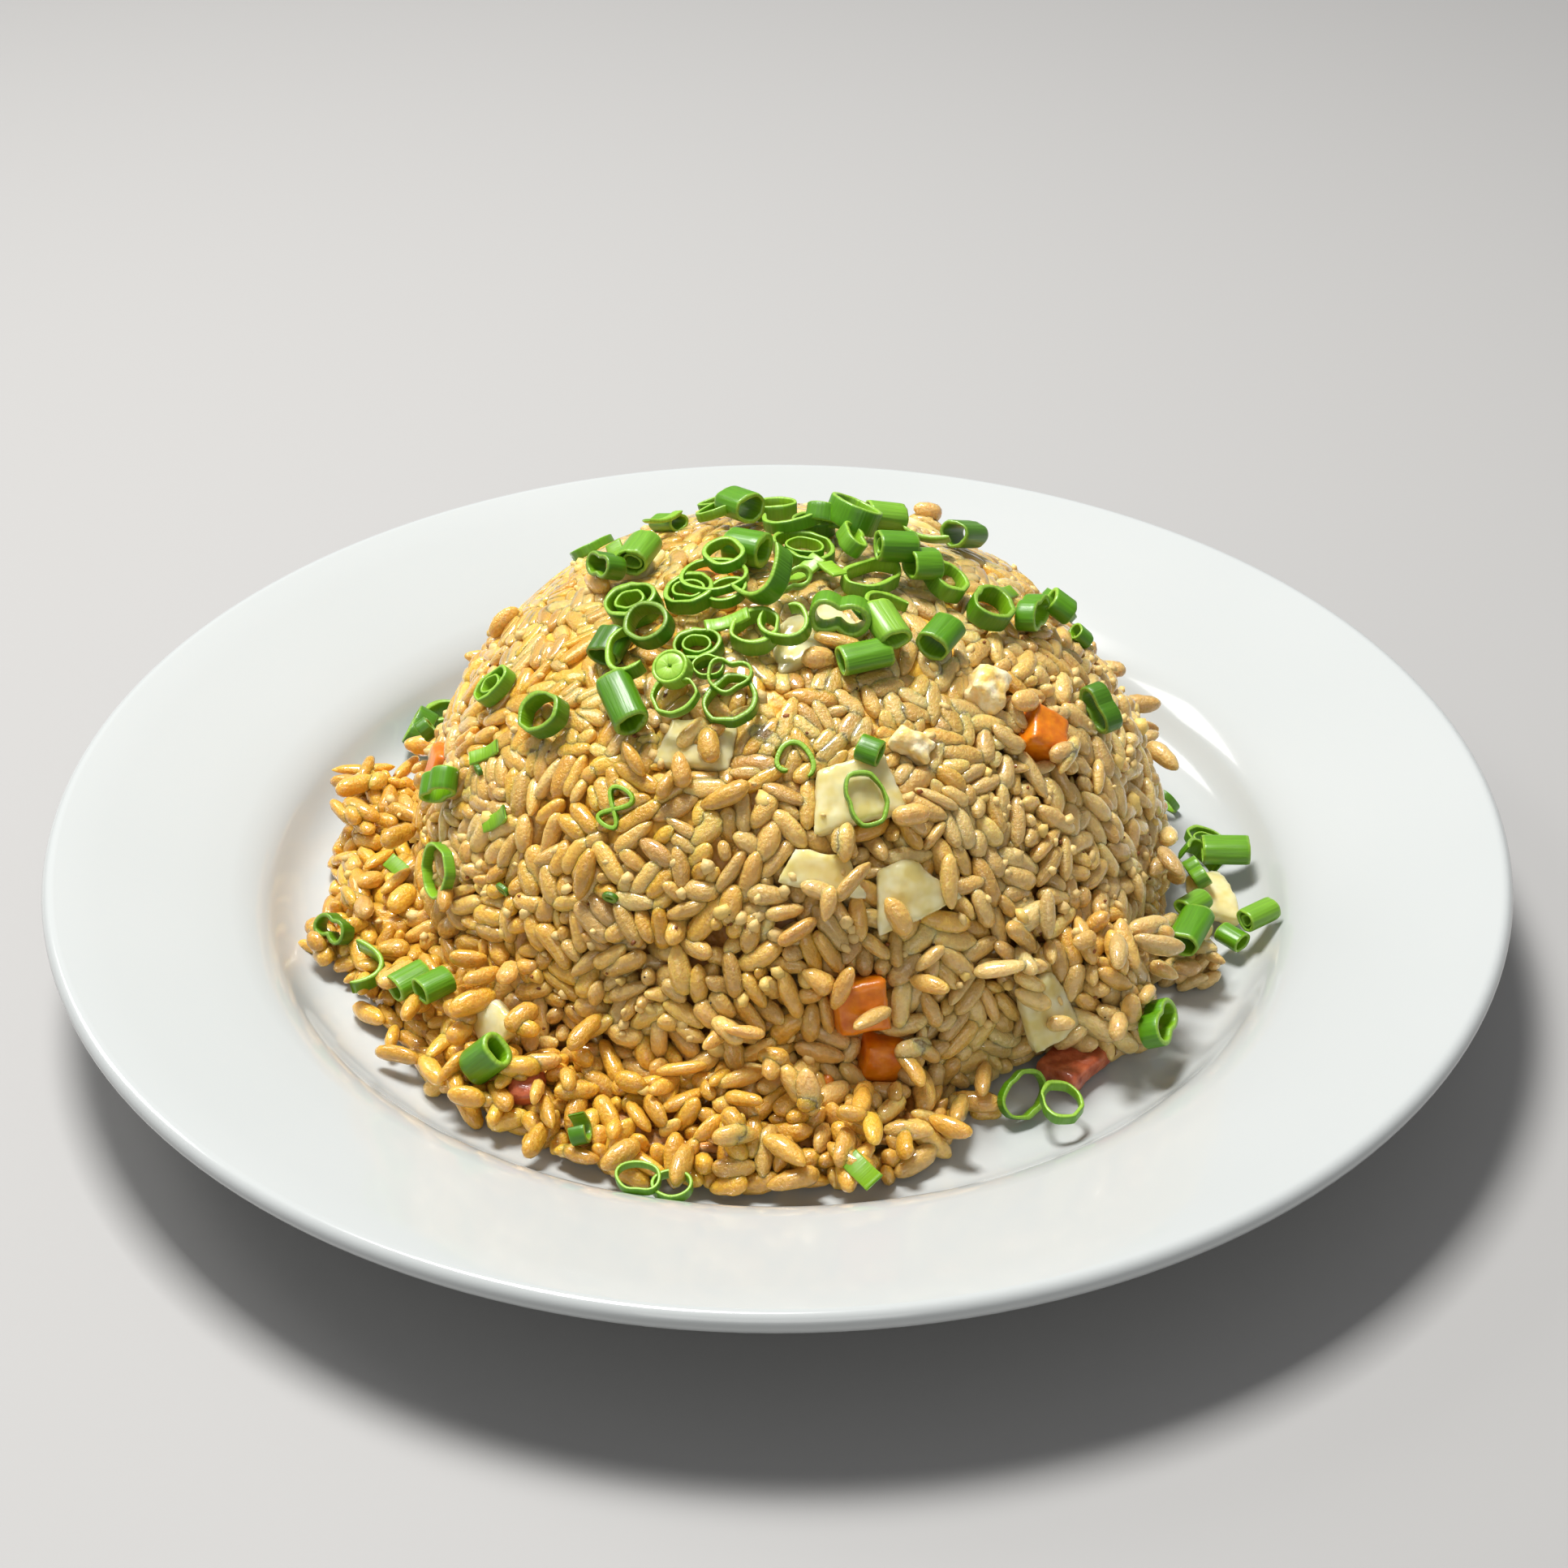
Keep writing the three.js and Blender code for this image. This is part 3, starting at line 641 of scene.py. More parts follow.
def grain_points(grains, chosen, sides, rings):
    """The surfaces of the chosen grains, as an array of grains by points, in mm.

    A grain is a row of rings that crowd towards its two tips. Each grain has its own blunt ends,
    flatness, taper, bend and unevenness.
    """
    number = len(chosen)
    axis = grains.axis[chosen]
    helper = unit(DRAW.normal(size=(number, 3)))
    side = unit(np.cross(axis, helper))
    face = np.cross(axis, side)
    radius, half = grains.radius[chosen], grains.half[chosen]
    length = 1.08 * (half + radius)
    along = np.sin(np.linspace(-1.24, 1.24, rings))
    blunt, point = DRAW.uniform(1.9, 3.6, (2, number, 1))
    width = (1 - np.abs(along)[None] ** blunt) ** (0.45 + 0.12 * (point - 1.9))
    angle = circle_angles(sides)
    flat = DRAW.uniform(0.66, 0.95, number)
    taper = DRAW.normal(0, 0.13, number)
    bend = DRAW.normal(0, 0.07, number)
    wobble = 1.08 + DRAW.normal(0, 0.045, (number, rings, sides))
    ring = radius[:, None] * width * (1 + taper[:, None] * along)
    across = ring[:, :, None] * np.cos(angle) * wobble
    up = ring[:, :, None] * np.sin(angle) * wobble * flat[:, None, None]
    arch = (bend * length)[:, None] * (along**2 - 0.4)
    points = (
        grains.centre[chosen][:, None, None]
        + axis[:, None, None] * (length[:, None] * along)[:, :, None, None]
        + side[:, None, None] * (across + arch[:, :, None])[..., None]
        + face[:, None, None] * up[..., None]
    ).reshape(number, -1, 3)
    tips = grains.centre[chosen][:, None] + axis[:, None] * (length[:, None] * [-1, 1])[..., None]
    tips += side[:, None] * (bend * length * 0.6)[:, None, None]
    return np.concatenate([points, tips], axis=1)


def grain_faces(number, sides, rings):
    """Triangles and quads of that many grains."""
    per = rings * sides + 2
    quads = tube_quads(rings, sides)[:, [0, 3, 2, 1]]
    ends = np.concatenate(
        [fan(0, sides, per - 2)[:, [1, 0, 2]], fan((rings - 1) * sides, sides, per - 1)]
    )
    shift = (np.arange(number) * per)[:, None, None]
    return [(quads + shift).reshape(-1, 4), (ends + shift).reshape(-1, 3)]


PALE_GRAIN = linear(250, 215, 138)
GOLDEN_GRAIN = linear(251, 193, 66)
BROWN_GRAIN = linear(222, 146, 54)
# Darker brown painted on the core where the grains stand loose: painted shade in the crevices between
# grains.
CREVICE_SHADE = linear(214, 148, 62)


def grain_colours(centre):
    """A tint for each grain: golden in the bank and at the upper left, paler at the right."""
    azimuth, down, across = dome_angles(centre)
    left = np.cos(np.radians(azimuth + 160))
    bank = smoothstep(DOME_RADIUS - 1, DOME_RADIUS + 5, across) * (left > -0.2)
    gold = 0.42 + 0.3 * left + 0.5 * bank + 0.35 * soft_noise(centre, 14.0, 8)
    gold = np.clip(gold + DRAW.normal(0, 0.2, len(centre)), 0, 1)[:, None]
    brown = np.clip(DRAW.normal(0.04, 0.12, len(centre)), 0, 0.6)[:, None]
    colour = PALE_GRAIN * (1 - gold) + GOLDEN_GRAIN * gold
    colour = colour * (1 - brown) + BROWN_GRAIN * brown
    return np.minimum(colour * DRAW.uniform(0.77, 1.1, (len(centre), 1)), 1)


def make_rice(points, triangles, field, finish, surface):
    """The grains in a few pieces, and the core below them."""
    grains = Grains(field)
    grains.relax(RELAX_STEPS)
    grains.fill_gaps()
    grains.relax(RELAX_STEPS // 4)
    depth, _ = field.at(grains.centre)
    _, _, across = dome_angles(grains.centre)
    near_face = depth > -BURIED
    flattened = near_face & (grains.press > 0.5)
    fallen = near_face & ~flattened & (across > DOME_RADIUS + 0.5)
    loose = near_face & ~flattened & ~fallen
    front = grains.centre[:, 1] < DOME_CENTRE[1]
    left = grains.centre[:, 0] < DOME_CENTRE[0]
    kinds = {
        "rice_pressed": (flattened, FINE_GRAIN),
        "rice_fallen": (fallen, FINE_GRAIN),
        "rice_front_left": (loose & front & left, FINE_GRAIN),
        "rice_front_right": (loose & front & ~left, FINE_GRAIN),
        "rice_back": (loose & ~front, BACK_GRAIN),
        "rice_buried": (~near_face, PLAIN_GRAIN),
    }
    for name, (mask, (sides, rings)) in kinds.items():
        chosen = np.nonzero(mask)[0]
        shape = grain_points(grains, chosen, sides, rings)
        tint = np.repeat(grain_colours(grains.centre[chosen]), shape.shape[1], axis=0)
        flat = shape.reshape(-1, 3)
        depth, slope = field.at(flat)
        limit = PRESSED_LIMIT + 1.5 * (1 - pressed(flat))
        flat = flat - slope * np.clip(depth - limit, 0, None)[:, None]
        flat[:, 2] = np.maximum(flat[:, 2], plate_height(flat) + 0.05)
        faces = grain_faces(len(chosen), sides, rings)
        mesh_object(name, flat, faces, finish, tint)
        if name != "rice_buried":
            surface.include(flat, faces)
    sunk = 1.3 + 4.2 * (1 - pressed(points)) + 0.5 * soft_noise(points, 3.0, 9)
    inner = points - point_normals(points, triangles) * sunk[:, None]
    for _ in range(3):
        depth, slope = field.at(inner)
        inner -= slope * np.clip(depth + sunk, 0, 2)[:, None]
    # The core is painted darker brown where the grains stand loose, as painted shade in the crevices
    # between them, and golden where the mould pressed them.
    gold = pressed(points)[:, None]
    tint = CREVICE_SHADE * (1 - gold) + GOLDEN_GRAIN * gold
    core = mesh_object("rice_core", inner, triangles, core_material(), tint)
    surface.include(inner, [triangles])
    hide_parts("rice_mound")


# ---- diced pieces -------------------------------------------------------------------------------


def make_dice(surface):
    """Onion, carrot, egg and ham: each CAD piece with its edges softened and its faces uneven."""
    kinds = {
        "onion": (onion_material(), 0.3),
        "carrot": (carrot_material(), 0.25),
        "egg": (egg_material(), 0.9),
        "ham": (ham_material(), 0.3),
    }
    for count, node in enumerate(sorted(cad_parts)):
        kind = node.split("_")[0]
        if kind not in kinds:
            continue
        finish, uneven = kinds[kind]
        points, triangles = rounded_copy(node, 0.6, 18 if kind == "onion" else 8)
        normals = point_normals(points, triangles)
        relief = soft_noise(points, 2.6, count) + 0.4 * soft_noise(points, 1.1, 30)
        shaped = points + normals * (uneven * relief)[:, None]
        piece = mesh_object(f"{node}_cooked", shaped, triangles, finish)
        surface.include(shaped, [triangles])
        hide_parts(node)


# ---- settling -----------------------------------------------------------------------------------


class Surface:
    """What has been put down so far, so that the next piece can settle on it."""

    START = 25.0  # a piece falls from this far off, in mm

    def __init__(self):
        self.trees = {"rice": [], "leaf": []}

    def include(self, points, faces, layer="rice"):
        polygons = [face for group in faces for face in group.tolist()]
        low, high = points.min(0), points.max(0)
        self.trees[layer].append((BVHTree.FromPolygons(points.tolist(), polygons), low, high))

    def fall(self, points, way, sink, samples=48, layer="rice"):
        """How far the piece moves along `way` before it touches that layer, plus how far it sinks in."""
        chosen = points[:: max(1, len(points) // samples)]
        starts = chosen - way * self.START
        distance = 2 * self.START
        swept = np.concatenate([starts, starts + way * distance])
        low, high = swept.min(0), swept.max(0)
        near = []
        for tree, least, most in self.trees[layer]:
            if np.all(least < high) and np.all(most > low):
                near.append(tree)
        heading = Vector(way)
        for start in starts:
            origin = Vector(start)
            for tree in near:
                hit = tree.ray_cast(origin, heading, distance)[3]
                if hit is not None:
                    distance = hit
        return distance - self.START + sink


def placing(directions, place):
    """A matrix with those three directions as columns, and a place."""
    matrix = np.eye(4)
    matrix[:3, :3] = np.stack(directions, 1)
    matrix[:3, 3] = place
    return matrix


def dome_frame(azimuth, down):
    """A matrix on the dome's face: its columns run round the dome, uphill and outwards."""

    def point(fall):
        a, d = math.radians(azimuth), math.radians(fall)
        way = np.array([math.sin(d) * math.cos(a), math.sin(d) * math.sin(a), math.cos(d)])
        across = math.hypot(way[0], way[1]) / DOME_RADIUS
        full = DOME_FULLNESS
        reach = (across**full + (way[2] / DOME_HEIGHT) ** full) ** (-1 / full)
        return np.array([DOME_CENTRE[0], DOME_CENTRE[1], FLOOR_HEIGHT]) + way * reach

    middle = point(down)
    uphill = unit(point(down - 0.1) - middle)
    around = np.array([-math.sin(math.radians(azimuth)), math.cos(math.radians(azimuth)), 0.0])
    return placing([around, uphill, np.cross(around, uphill)], middle)


def plate_frame(x, y):
    """A matrix above a place on the plate, its columns round the dome, inwards and up."""
    inward = unit(np.array([DOME_CENTRE[0] - x, DOME_CENTRE[1] - y, 0.0]))
    up = [0, 0, 1]
    return placing([np.cross(inward, up), inward, up], (x, y, FLOOR_HEIGHT + 3))


def spin(axis, degrees):
    """A rotation about a matrix's own axis, 0 to 2."""
    turn = np.eye(4)
    one, two = (axis + 1) % 3, (axis + 2) % 3
    cosine, sine = math.cos(math.radians(degrees)), math.sin(math.radians(degrees))
    turn[one, one] = turn[two, two] = cosine
    turn[one, two], turn[two, one] = -sine, sine
    return turn


# ---- sliced green onion -------------------------------------------------------------------------

LEAF_SKIN = linear(86, 146, 0)
LEAF_CUT = linear(148, 192, 60)
LEAF_INSIDE = linear(122, 174, 14)


class Leaves:
    """Collects slices of green onion, each a strip of leaf wall bent along a flat curve."""

    # Places round the wall's section: share from skin to inside, share of the half height, shade.
    SECTION = [
        (0.0, -0.86, 0), (0.0, -0.45, 0), (0.0, 0.0, 0), (0.0, 0.45, 0), (0.0, 0.86, 0), (0.14, 1.0, 1),
        (0.86, 1.0, 1), (1.0, 0.86, 2), (1.0, 0.0, 2), (1.0, -0.86, 2), (0.86, -1.0, 1), (0.14, -1.0, 1),
    ]

    def __init__(self):
        self.points, self.faces, self.colours, self.uvs = [], [], [], []

    def add(self, curve, wall, height, matrix, closed=True, tone=0.0, slant=0.0):
        """curve: the wall's middle line in mm; wall: its thickness, one or one for each point."""
        curve = np.asarray(curve, float)
        steps = len(curve)
        if closed:
            ahead = np.roll(curve, -1, 0) - np.roll(curve, 1, 0)
        else:
            ahead = np.gradient(curve, axis=0)
        outward = unit(np.stack([ahead[:, 1], -ahead[:, 0]], 1))
        section = np.array(self.SECTION)
        wall = np.broadcast_to(wall, steps)
        offset = (0.5 - section[None, :, 0]) * wall[:, None]
        if not closed:
            ends = np.minimum(np.arange(steps), np.arange(steps)[::-1])
            offset = offset * np.minimum(0.35 + 0.4 * ends, 1)[:, None]
        flat = curve[:, None] + outward[:, None] * offset[..., None]
        level = section[:, 1] * height / 2
        edge = np.sign(section[:, 1]) * (np.abs(section[:, 1]) > 0.5)
        route = np.column_stack([curve, np.full(steps, height)])
        ragged = 0.05 * soft_noise(route, 1.2, len(self.points))
        rise = level + slant * flat[..., 0] * np.abs(section[:, 1]) + edge * ragged[:, None]
        local = np.concatenate([flat, rise[..., None]], -1).reshape(-1, 3)
        placed = local @ matrix[:3, :3].T + matrix[:3, 3]
        around = len(section)
        quads = tube_quads(steps, around, closed)
        run = np.concatenate([[0], np.cumsum(np.linalg.norm(np.diff(curve, axis=0), axis=1))])
        run = np.append(run, run[-1] + np.linalg.norm(curve[-1] - curve[0]))
        u, v = run * MM, np.append(section[:, 1], section[0, 1]) * height / 2 * MM
        row, side = quad_corners(steps if closed else steps - 1, around)
        uv = np.stack([u[row], v[side]], -1).reshape(-1, 2)
        if not closed:
            rung = np.arange(around // 2 - 1)[:, None]
            ladder = np.concatenate([rung, rung + 1, around - 2 - rung, around - 1 - rung], 1)
            ends = np.concatenate([around - 1 - ladder, (steps - 1) * around + ladder])
            quads = np.concatenate([quads, ends])
            uv = np.concatenate([uv, np.zeros((ends.size, 2))])
        shade = section[:, 2].astype(int)
        palette = np.stack([LEAF_SKIN, LEAF_CUT, LEAF_INSIDE])
        pale = palette + (LEAF_CUT * 1.15 - palette) * max(tone, 0) * 0.8
        dark = pale * (1 + min(tone, 0) * 0.45)
        self.colours.append(np.tile(dark[shade], (steps, 1)))
        self.points.append(placed)
        self.faces.append(quads)
        self.uvs.append(uv)

    def finish(self, name, material, nodes=()):
        starts = np.cumsum([0] + [len(p) for p in self.points[:-1]])
        faces = np.concatenate([f + s for f, s in zip(self.faces, starts)])
        points, colours = np.concatenate(self.points), np.concatenate(self.colours)
        piece = mesh_object(name, points, faces, material, colours, np.concatenate(self.uvs))
        if nodes:
            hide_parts(*nodes)


def leaf_of_node(node):
    """The outer and inner loops, the height and the placing of a CAD slice, measured on its solid."""
    source, faces = mesh_arrays(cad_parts[node].data)
    points = np.unique(source.round(4), axis=0)
    centre = points.mean(0)
    ways = np.linalg.eigh(np.cov((points - centre).T))[1]
    normals = unit(face_normals(source, faces))
    facing = normals @ ways[:, 0 if "ring" in node else 2]
    cut_face = np.argmax(np.abs(facing))
    axis = unit(normals[cut_face] * np.sign(facing[cut_face]))
    if axis[2] < 0:
        axis = -axis
    side = unit(np.cross(axis, [0.3, 0.8, 0.52]))
    basis = np.stack([side, np.cross(axis, side), axis], 1)
    local = (points - centre) @ basis
    top = local[local[:, 2] > 0][:, :2]
    pairs = top[np.argsort(np.arctan2(top[:, 1], top[:, 0]))].reshape(-1, 2, 2)
    far = np.linalg.norm(pairs, axis=2)
    outer_first = far[:, :1] > far[:, 1:]
    outer = np.where(outer_first, pairs[:, 0], pairs[:, 1])
    inner = np.where(outer_first, pairs[:, 1], pairs[:, 0])
    return outer, inner, np.ptp(local[:, 2]), placing(basis.T, centre)


def smooth_loop(loop, steps):
    """A closed loop through the given points, by its harmonics."""
    number = len(loop)
    spectrum = np.fft.fft(loop[:, 0] + 1j * loop[:, 1])
    wide = np.zeros(steps, complex)
    half = number // 2
    wide[:half] = spectrum[:half]
    wide[-half:] = spectrum[-half:]
    fine = np.fft.ifft(wide) * steps / number
    return np.stack([fine.real, fine.imag], 1)


def ring_curve(radius, oval, unevenness, steps=32):
    """A closed loop, out of round by `oval` and by a few random waves."""
    angle = circle_angles(steps)
    reach = 1 + oval * np.cos(2 * angle)
    for wave in (3, 4, 5):
        swing = unevenness / wave * 2 * DRAW.normal()
        reach = reach + swing * np.cos(wave * angle + DRAW.uniform(0, 6.3))
    return on_circle(angle) * (radius * reach)[:, None]


def arc_curve(radius, sweep, curl=0.0, steps=26):
    """An open curve over `sweep` degrees, closing in by the share `curl`."""
    angle = np.radians(np.linspace(-sweep / 2, sweep / 2, steps))
    reach = radius * (1 - curl * np.linspace(0, 1, steps) ** 2)
    reach = reach * (1 + 0.08 * np.sin(3 * angle + DRAW.uniform(0, 6.3)))
    curve = on_circle(angle) * reach[:, None]
    return curve - curve.mean(0)


def eight_curve(radius, steps=44):
    """A closed figure of eight, one loop larger."""
    angle = circle_angles(steps)
    curve = np.stack([np.sin(angle), 0.62 * np.sin(2 * angle)], 1) * radius * 1.5
    return curve * (1 + 0.12 * np.sin(angle))[:, None]


# Slices on the dome: azimuth, angle down, kind, radius, height, turn, roll, tone.
DOME_SLICES = [
    (135, 26, "tube", 1.9, 6.5, 0, 90, 0.2), (141, 24, "strip", 4.4, 2.0, 0, 88, 0.5),
    (166, 26, "strip", 3.0, 3.0, 20, 80, -0.2), (178, 26, "fold", 2.6, 4.0, 40, 50, -0.6),
    (-152, 10, "ring", 3.5, 2.2, 0, 6, 0.0), (-143, 13, "thin", 5.2, 1.6, 30, 0, 0.1),
    (-128, 14, "ring", 3.1, 2.0, 60, 0, 0.0), (-148, 30, "tube", 3.1, 5.5, 30, 90, -1.0),
    (-140, 25, "ring", 3.9, 3.2, 0, 12, -0.8), (-139, 31, "arc", 4.6, 3.0, 250, 0, 0.1),
    (-122, 29.5, "stub", 3.3, 3.2, 0, 14, 1.0), (-114, 27, "thin", 2.4, 1.4, 0, 0, 0.2),
    (-107, 28, "thin", 3.2, 1.5, 10, 10, 0.1), (-116, 19, "strip", 4.0, 2.6, 35, 84, 0.4),
    (-103, 13, "arc", 5.4, 4.0, -60, 40, 0.0), (-90, 19, "hook", 4.6, 2.8, -60, 15, 0.1),
    (-89, 10, "fold", 2.4, 3.0, 10, 40, 0.1), (-69, 5, "strip", 4.6, 3.2, 25, 84, 0.8),
    (125, 19, "eight", 3.2, 1.8, 60, 10, -0.1), (87, 7, "arc", 5.2, 2.4, 90, 10, 0.1),
    (51, 10, "fold", 3.0, 3.4, 30, 40, -0.2), (70, 18, "tube", 2.0, 4.6, 90, 90, 0.0),
    (40, 12, "ring", 4.4, 4.6, 0, 20, 0.0), (8, 9, "fold", 2.6, 3.0, 0, 30, 0.3),
    (-39, 8, "strip", 2.8, 3.0, 70, 84, 0.6), (-9, 19, "tube", 3.0, 5.4, 30, 90, 0.1),
    (9, 18, "strip", 3.0, 2.0, 0, 84, -0.2), (27, 23, "strip", 4.4, 3.4, 40, 60, 0.1),
    (5, 33, "strip", 4.2, 2.6, -40, 80, -0.2), (-4, 36, "fold", 3.2, 3.6, -20, 50, 0.0),
    (2, 40, "tube", 2.5, 4.6, -10, 90, 0.0), (8, 48, "tube", 1.8, 3.4, 0, 90, -0.2),
    (-41, 17, "arc", 4.6, 2.4, 90, 10, 0.1), (-67, 18, "fold", 3.6, 4.6, -30, 70, 0.1),
    (-53, 22, "tube", 2.6, 8.0, -10, 90, 0.7), (-53, 18, "strip", 2.6, 2.6, 0, 84, -0.1),
    (-156, 53, "strip", 3.3, 2.6, 60, 86, 0.2), (-160, 61, "fold", 2.9, 4.2, 45, 88, 0.0),
    (-144, 58, "strip", 3.3, 2.6, 50, 86, 0.2), (-122, 49, "eight", 2.3, 1.0, 80, 0, 0.0),
    (-89, 38, "hook", 3.6, 1.1, 100, 0, 0.1), (-73, 38.5, "tube", 2.1, 4.0, 50, 74, -0.3),
    (-16, 50, "fold", 3.0, 3.4, 60, 60, -0.8), (-127, 82, "tube", 2.8, 8.0, -40, 86, 0.0),
    (-113, 85, "hook", 2.7, 2.8, -70, 70, -0.5), (170, 70, "fold", 2.4, 2.6, 40, 60, -0.6),
    (-138, 66, "speck", 0.9, 0.8, 0, 40, -0.7), (-118, 60, "speck", 0.8, 0.8, 0, 40, -0.8),
    (-154, 55, "speck", 0.7, 0.8, 0, 40, -0.8), (30, 55, "ring", 3.6, 2.2, 0, 0, 0.0),
    (75, 45, "ring", 4.2, 2.4, 20, 0, 0.0), (110, 50, "strip", 3.4, 2.8, 30, 84, 0.2),
    (140, 42, "ring", 3.8, 2.0, 0, 0, 0.1), (60, 66, "tube", 2.4, 5.5, 40, 90, 0.0),
]

# Slices on the plate and on the fallen rice: x, y, then as above.
PLATE_SLICES = [
    (-74, 46, "fold", 3.4, 4.2, 20, 60, -0.5), (77, 26, "thin", 3.2, 1.6, 30, 60, 0.1),
    (81, 3, "arc", 3.8, 3.4, 0, 30, 0.0), (79, -8, "fold", 2.6, 2.8, 20, 60, 0.2),
    (76, -23, "tube", 2.0, 5.6, 60, 90, 0.3), (84, -22, "tube", 2.0, 5.0, -30, 90, 0.1),
    (66, -54, "fold", 3.4, 3.6, 20, 60, 0.0), (14, -90, "strip", 4.4, 3.6, -64, 62, -0.4),
    (-17, -90, "ring", 2.9, 2.0, 0, 10, 0.2), (-22.5, -89, "thin", 3.2, 1.6, 0, 10, 0.2),
    (-60, -47, "tube", 2.6, 6.0, 0, 90, 0.1), (-73, -36, "arc", 4.4, 3.6, 60, 20, 0.1),
    (-81, -25, "fold", 2.6, 3.0, 30, 60, -0.7), (-71, -10, "strip", 3.4, 3.0, 30, 60, -0.2),
    (-33, 86, "ring", 3.6, 2.4, 0, 0, 0.0), (30, 84, "strip", 4.0, 2.8, 10, 80, 0.1),
]


def slice_layers(kind, radius):
    """The curves of one slice, as (curve, wall, closed)."""
    if kind == "ring":
        return [(ring_curve(radius, 0.1, 0.06), radius * DRAW.uniform(0.17, 0.26), True)]
    if kind == "thin":
        return [(ring_curve(radius, 0.14, 0.08), radius * 0.13 + 0.1, True)]
    if kind == "tube":
        return [(ring_curve(radius * 0.86, 0.16, 0.04), radius * DRAW.uniform(0.2, 0.4), True)]
    if kind == "stub":
        return [
            (ring_curve(radius * 0.9, 0.04, 0.02), radius * 0.2, True),
            (ring_curve(radius * 0.44, 0.04, 0.02), radius * 0.72, True),
        ]
    if kind == "arc":
        return [(arc_curve(radius, 190), 0.9, False)]
    if kind == "hook":
        return [(arc_curve(radius, 290, 0.5), 0.8, False)]
    if kind == "fold":
        return [(ring_curve(radius, 0.42, 0.1), radius * 0.3, True)]
    if kind == "eight":
        return [(eight_curve(radius), 0.7, True)]
    if kind == "speck":
        return [(ring_curve(radius, 0.3, 0.1), radius * 0.9, True)]
    return [(arc_curve(radius * 2.6, 44), 0.8, False)]


def cad_leaves(surface, kind, finish):
    """The slices that replace the CAD's, some with a smaller one inside."""
    leaves = Leaves()
    nodes = [node for node in sorted(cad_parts) if node.startswith(f"scallion_{kind}")]
    for node in nodes:
        outer, inner, height, matrix = leaf_of_node(node)
        outer, inner = smooth_loop(outer, LOOP_STEPS), smooth_loop(inner, LOOP_STEPS)
        wall = np.linalg.norm(outer - inner, axis=1)
        phase = np.linspace(0, 2 * math.pi, LOOP_STEPS, endpoint=False)
        wall = wall * (
            0.72 + 0.16 * np.sin(2 * phase + len(node)) + 0.1 * np.sin(3 * phase + DRAW.uniform(0, 6))
        )
        middle = outer + unit(inner - outer) * (wall / 2)[:, None]
        waves = 0.04 * np.sin(3 * phase + DRAW.uniform(0, 6))
        waves += 0.03 * np.sin(5 * phase + DRAW.uniform(0, 6))
        middle = middle * (0.97 - np.abs(waves))[:, None]
        tone = DRAW.uniform(-0.6, 0.6)
        leaves.add(middle, wall, height, matrix, tone=tone, slant=DRAW.normal(0, 0.04))
        surface.include(leaves.points[-1], [leaves.faces[-1]], "leaf")
        if DRAW.random() < 0.3:
            reach = np.linalg.norm(middle, axis=1).mean()
            inside = ring_curve(reach * 0.6, 0.15, 0.04, 24)
            leaves.add(inside, wall.mean() * 0.6, height * 0.9, matrix, tone=min(tone + 0.2, 1))
    leaves.finish(f"scallion_{kind}s", finish, nodes)


def make_leaves(surface):
    finish = leaf_material()
    cad_leaves(surface, "ring", finish)
    cad_leaves(surface, "tube", finish)
    leaves = Leaves()
    spots = [(dome_frame(*spot[:2]), spot[2:]) for spot in DOME_SLICES]
    spots += [(plate_frame(*spot[:2]), spot[2:]) for spot in PLATE_SLICES]
    for matrix, (kind, radius, height, turn, roll, tone) in spots:
        way = -matrix[:3, 2]
        strip = kind == "strip"
        matrix = matrix @ spin(2, turn + 90 * strip) @ spin(int(strip), roll)
        first = len(leaves.points)
        for curve, wall, closed in slice_layers(kind, radius):
            leaves.add(curve, wall, height, matrix, closed, tone, DRAW.normal(0, 0.05))
        moved = np.concatenate(leaves.points[first:])
        settled = surface.fall(moved, way, 0.4)
        on_leaves = surface.fall(moved, way, 0.5, layer="leaf")
        shift = way * min(settled, max(on_leaves, settled - LEAF_PILE))
        for k in range(first, len(leaves.points)):
            leaves.points[k] = leaves.points[k] + shift
            surface.include(leaves.points[k], [leaves.faces[k]], "leaf")
    leaves.finish("scallion_slices", finish)


# ---- grains and crumbs on top -------------------------------------------------------------------


def random_spots(number):
    """Matrices all over the dome, thicker where the grains stand loose, and on the fallen rice."""
    spots = []
    while len(spots) < number:
        azimuth, down = DRAW.uniform(-180, 180), math.degrees(math.acos(DRAW.uniform(0.12, 1)))
        matrix = dome_frame(azimuth, down)
        if DRAW.random() > 0.25 + 0.75 * (1 - pressed(matrix[None, :3, 3])[0]):
            continue
        spots.append(matrix)
    return spots


# Where grains lie over the edges of diced pieces: azimuth, angle down, number, spread in mm.
COVERED = [
    (-69, 47.5, 2, 2.5), (-81, 49.5, 2, 2.0), (-84, 58, 3, 4.0), (-74, 60, 1, 1.0), (-64, 57, 1, 2.0),
    (-112, 41, 5, 6.0), (-105, 36, 2, 3.0), (-74, 21, 3, 5.0), (-84, 67, 2, 2.5), (-73, 78, 2, 2.0),
    (-88, 79, 3, 3.0), (-33, 50, 2, 2.0), (-53, 70, 6, 6.0), (-35, 40, 3, 4.0), (60, 46, 5, 5.0),
    (128, 61, 5, 5.0), (-163, 15, 3, 4.0), (161, 29, 4, 4.0), (82, 64, 4, 4.0), (28, 72, 4, 4.0),
]


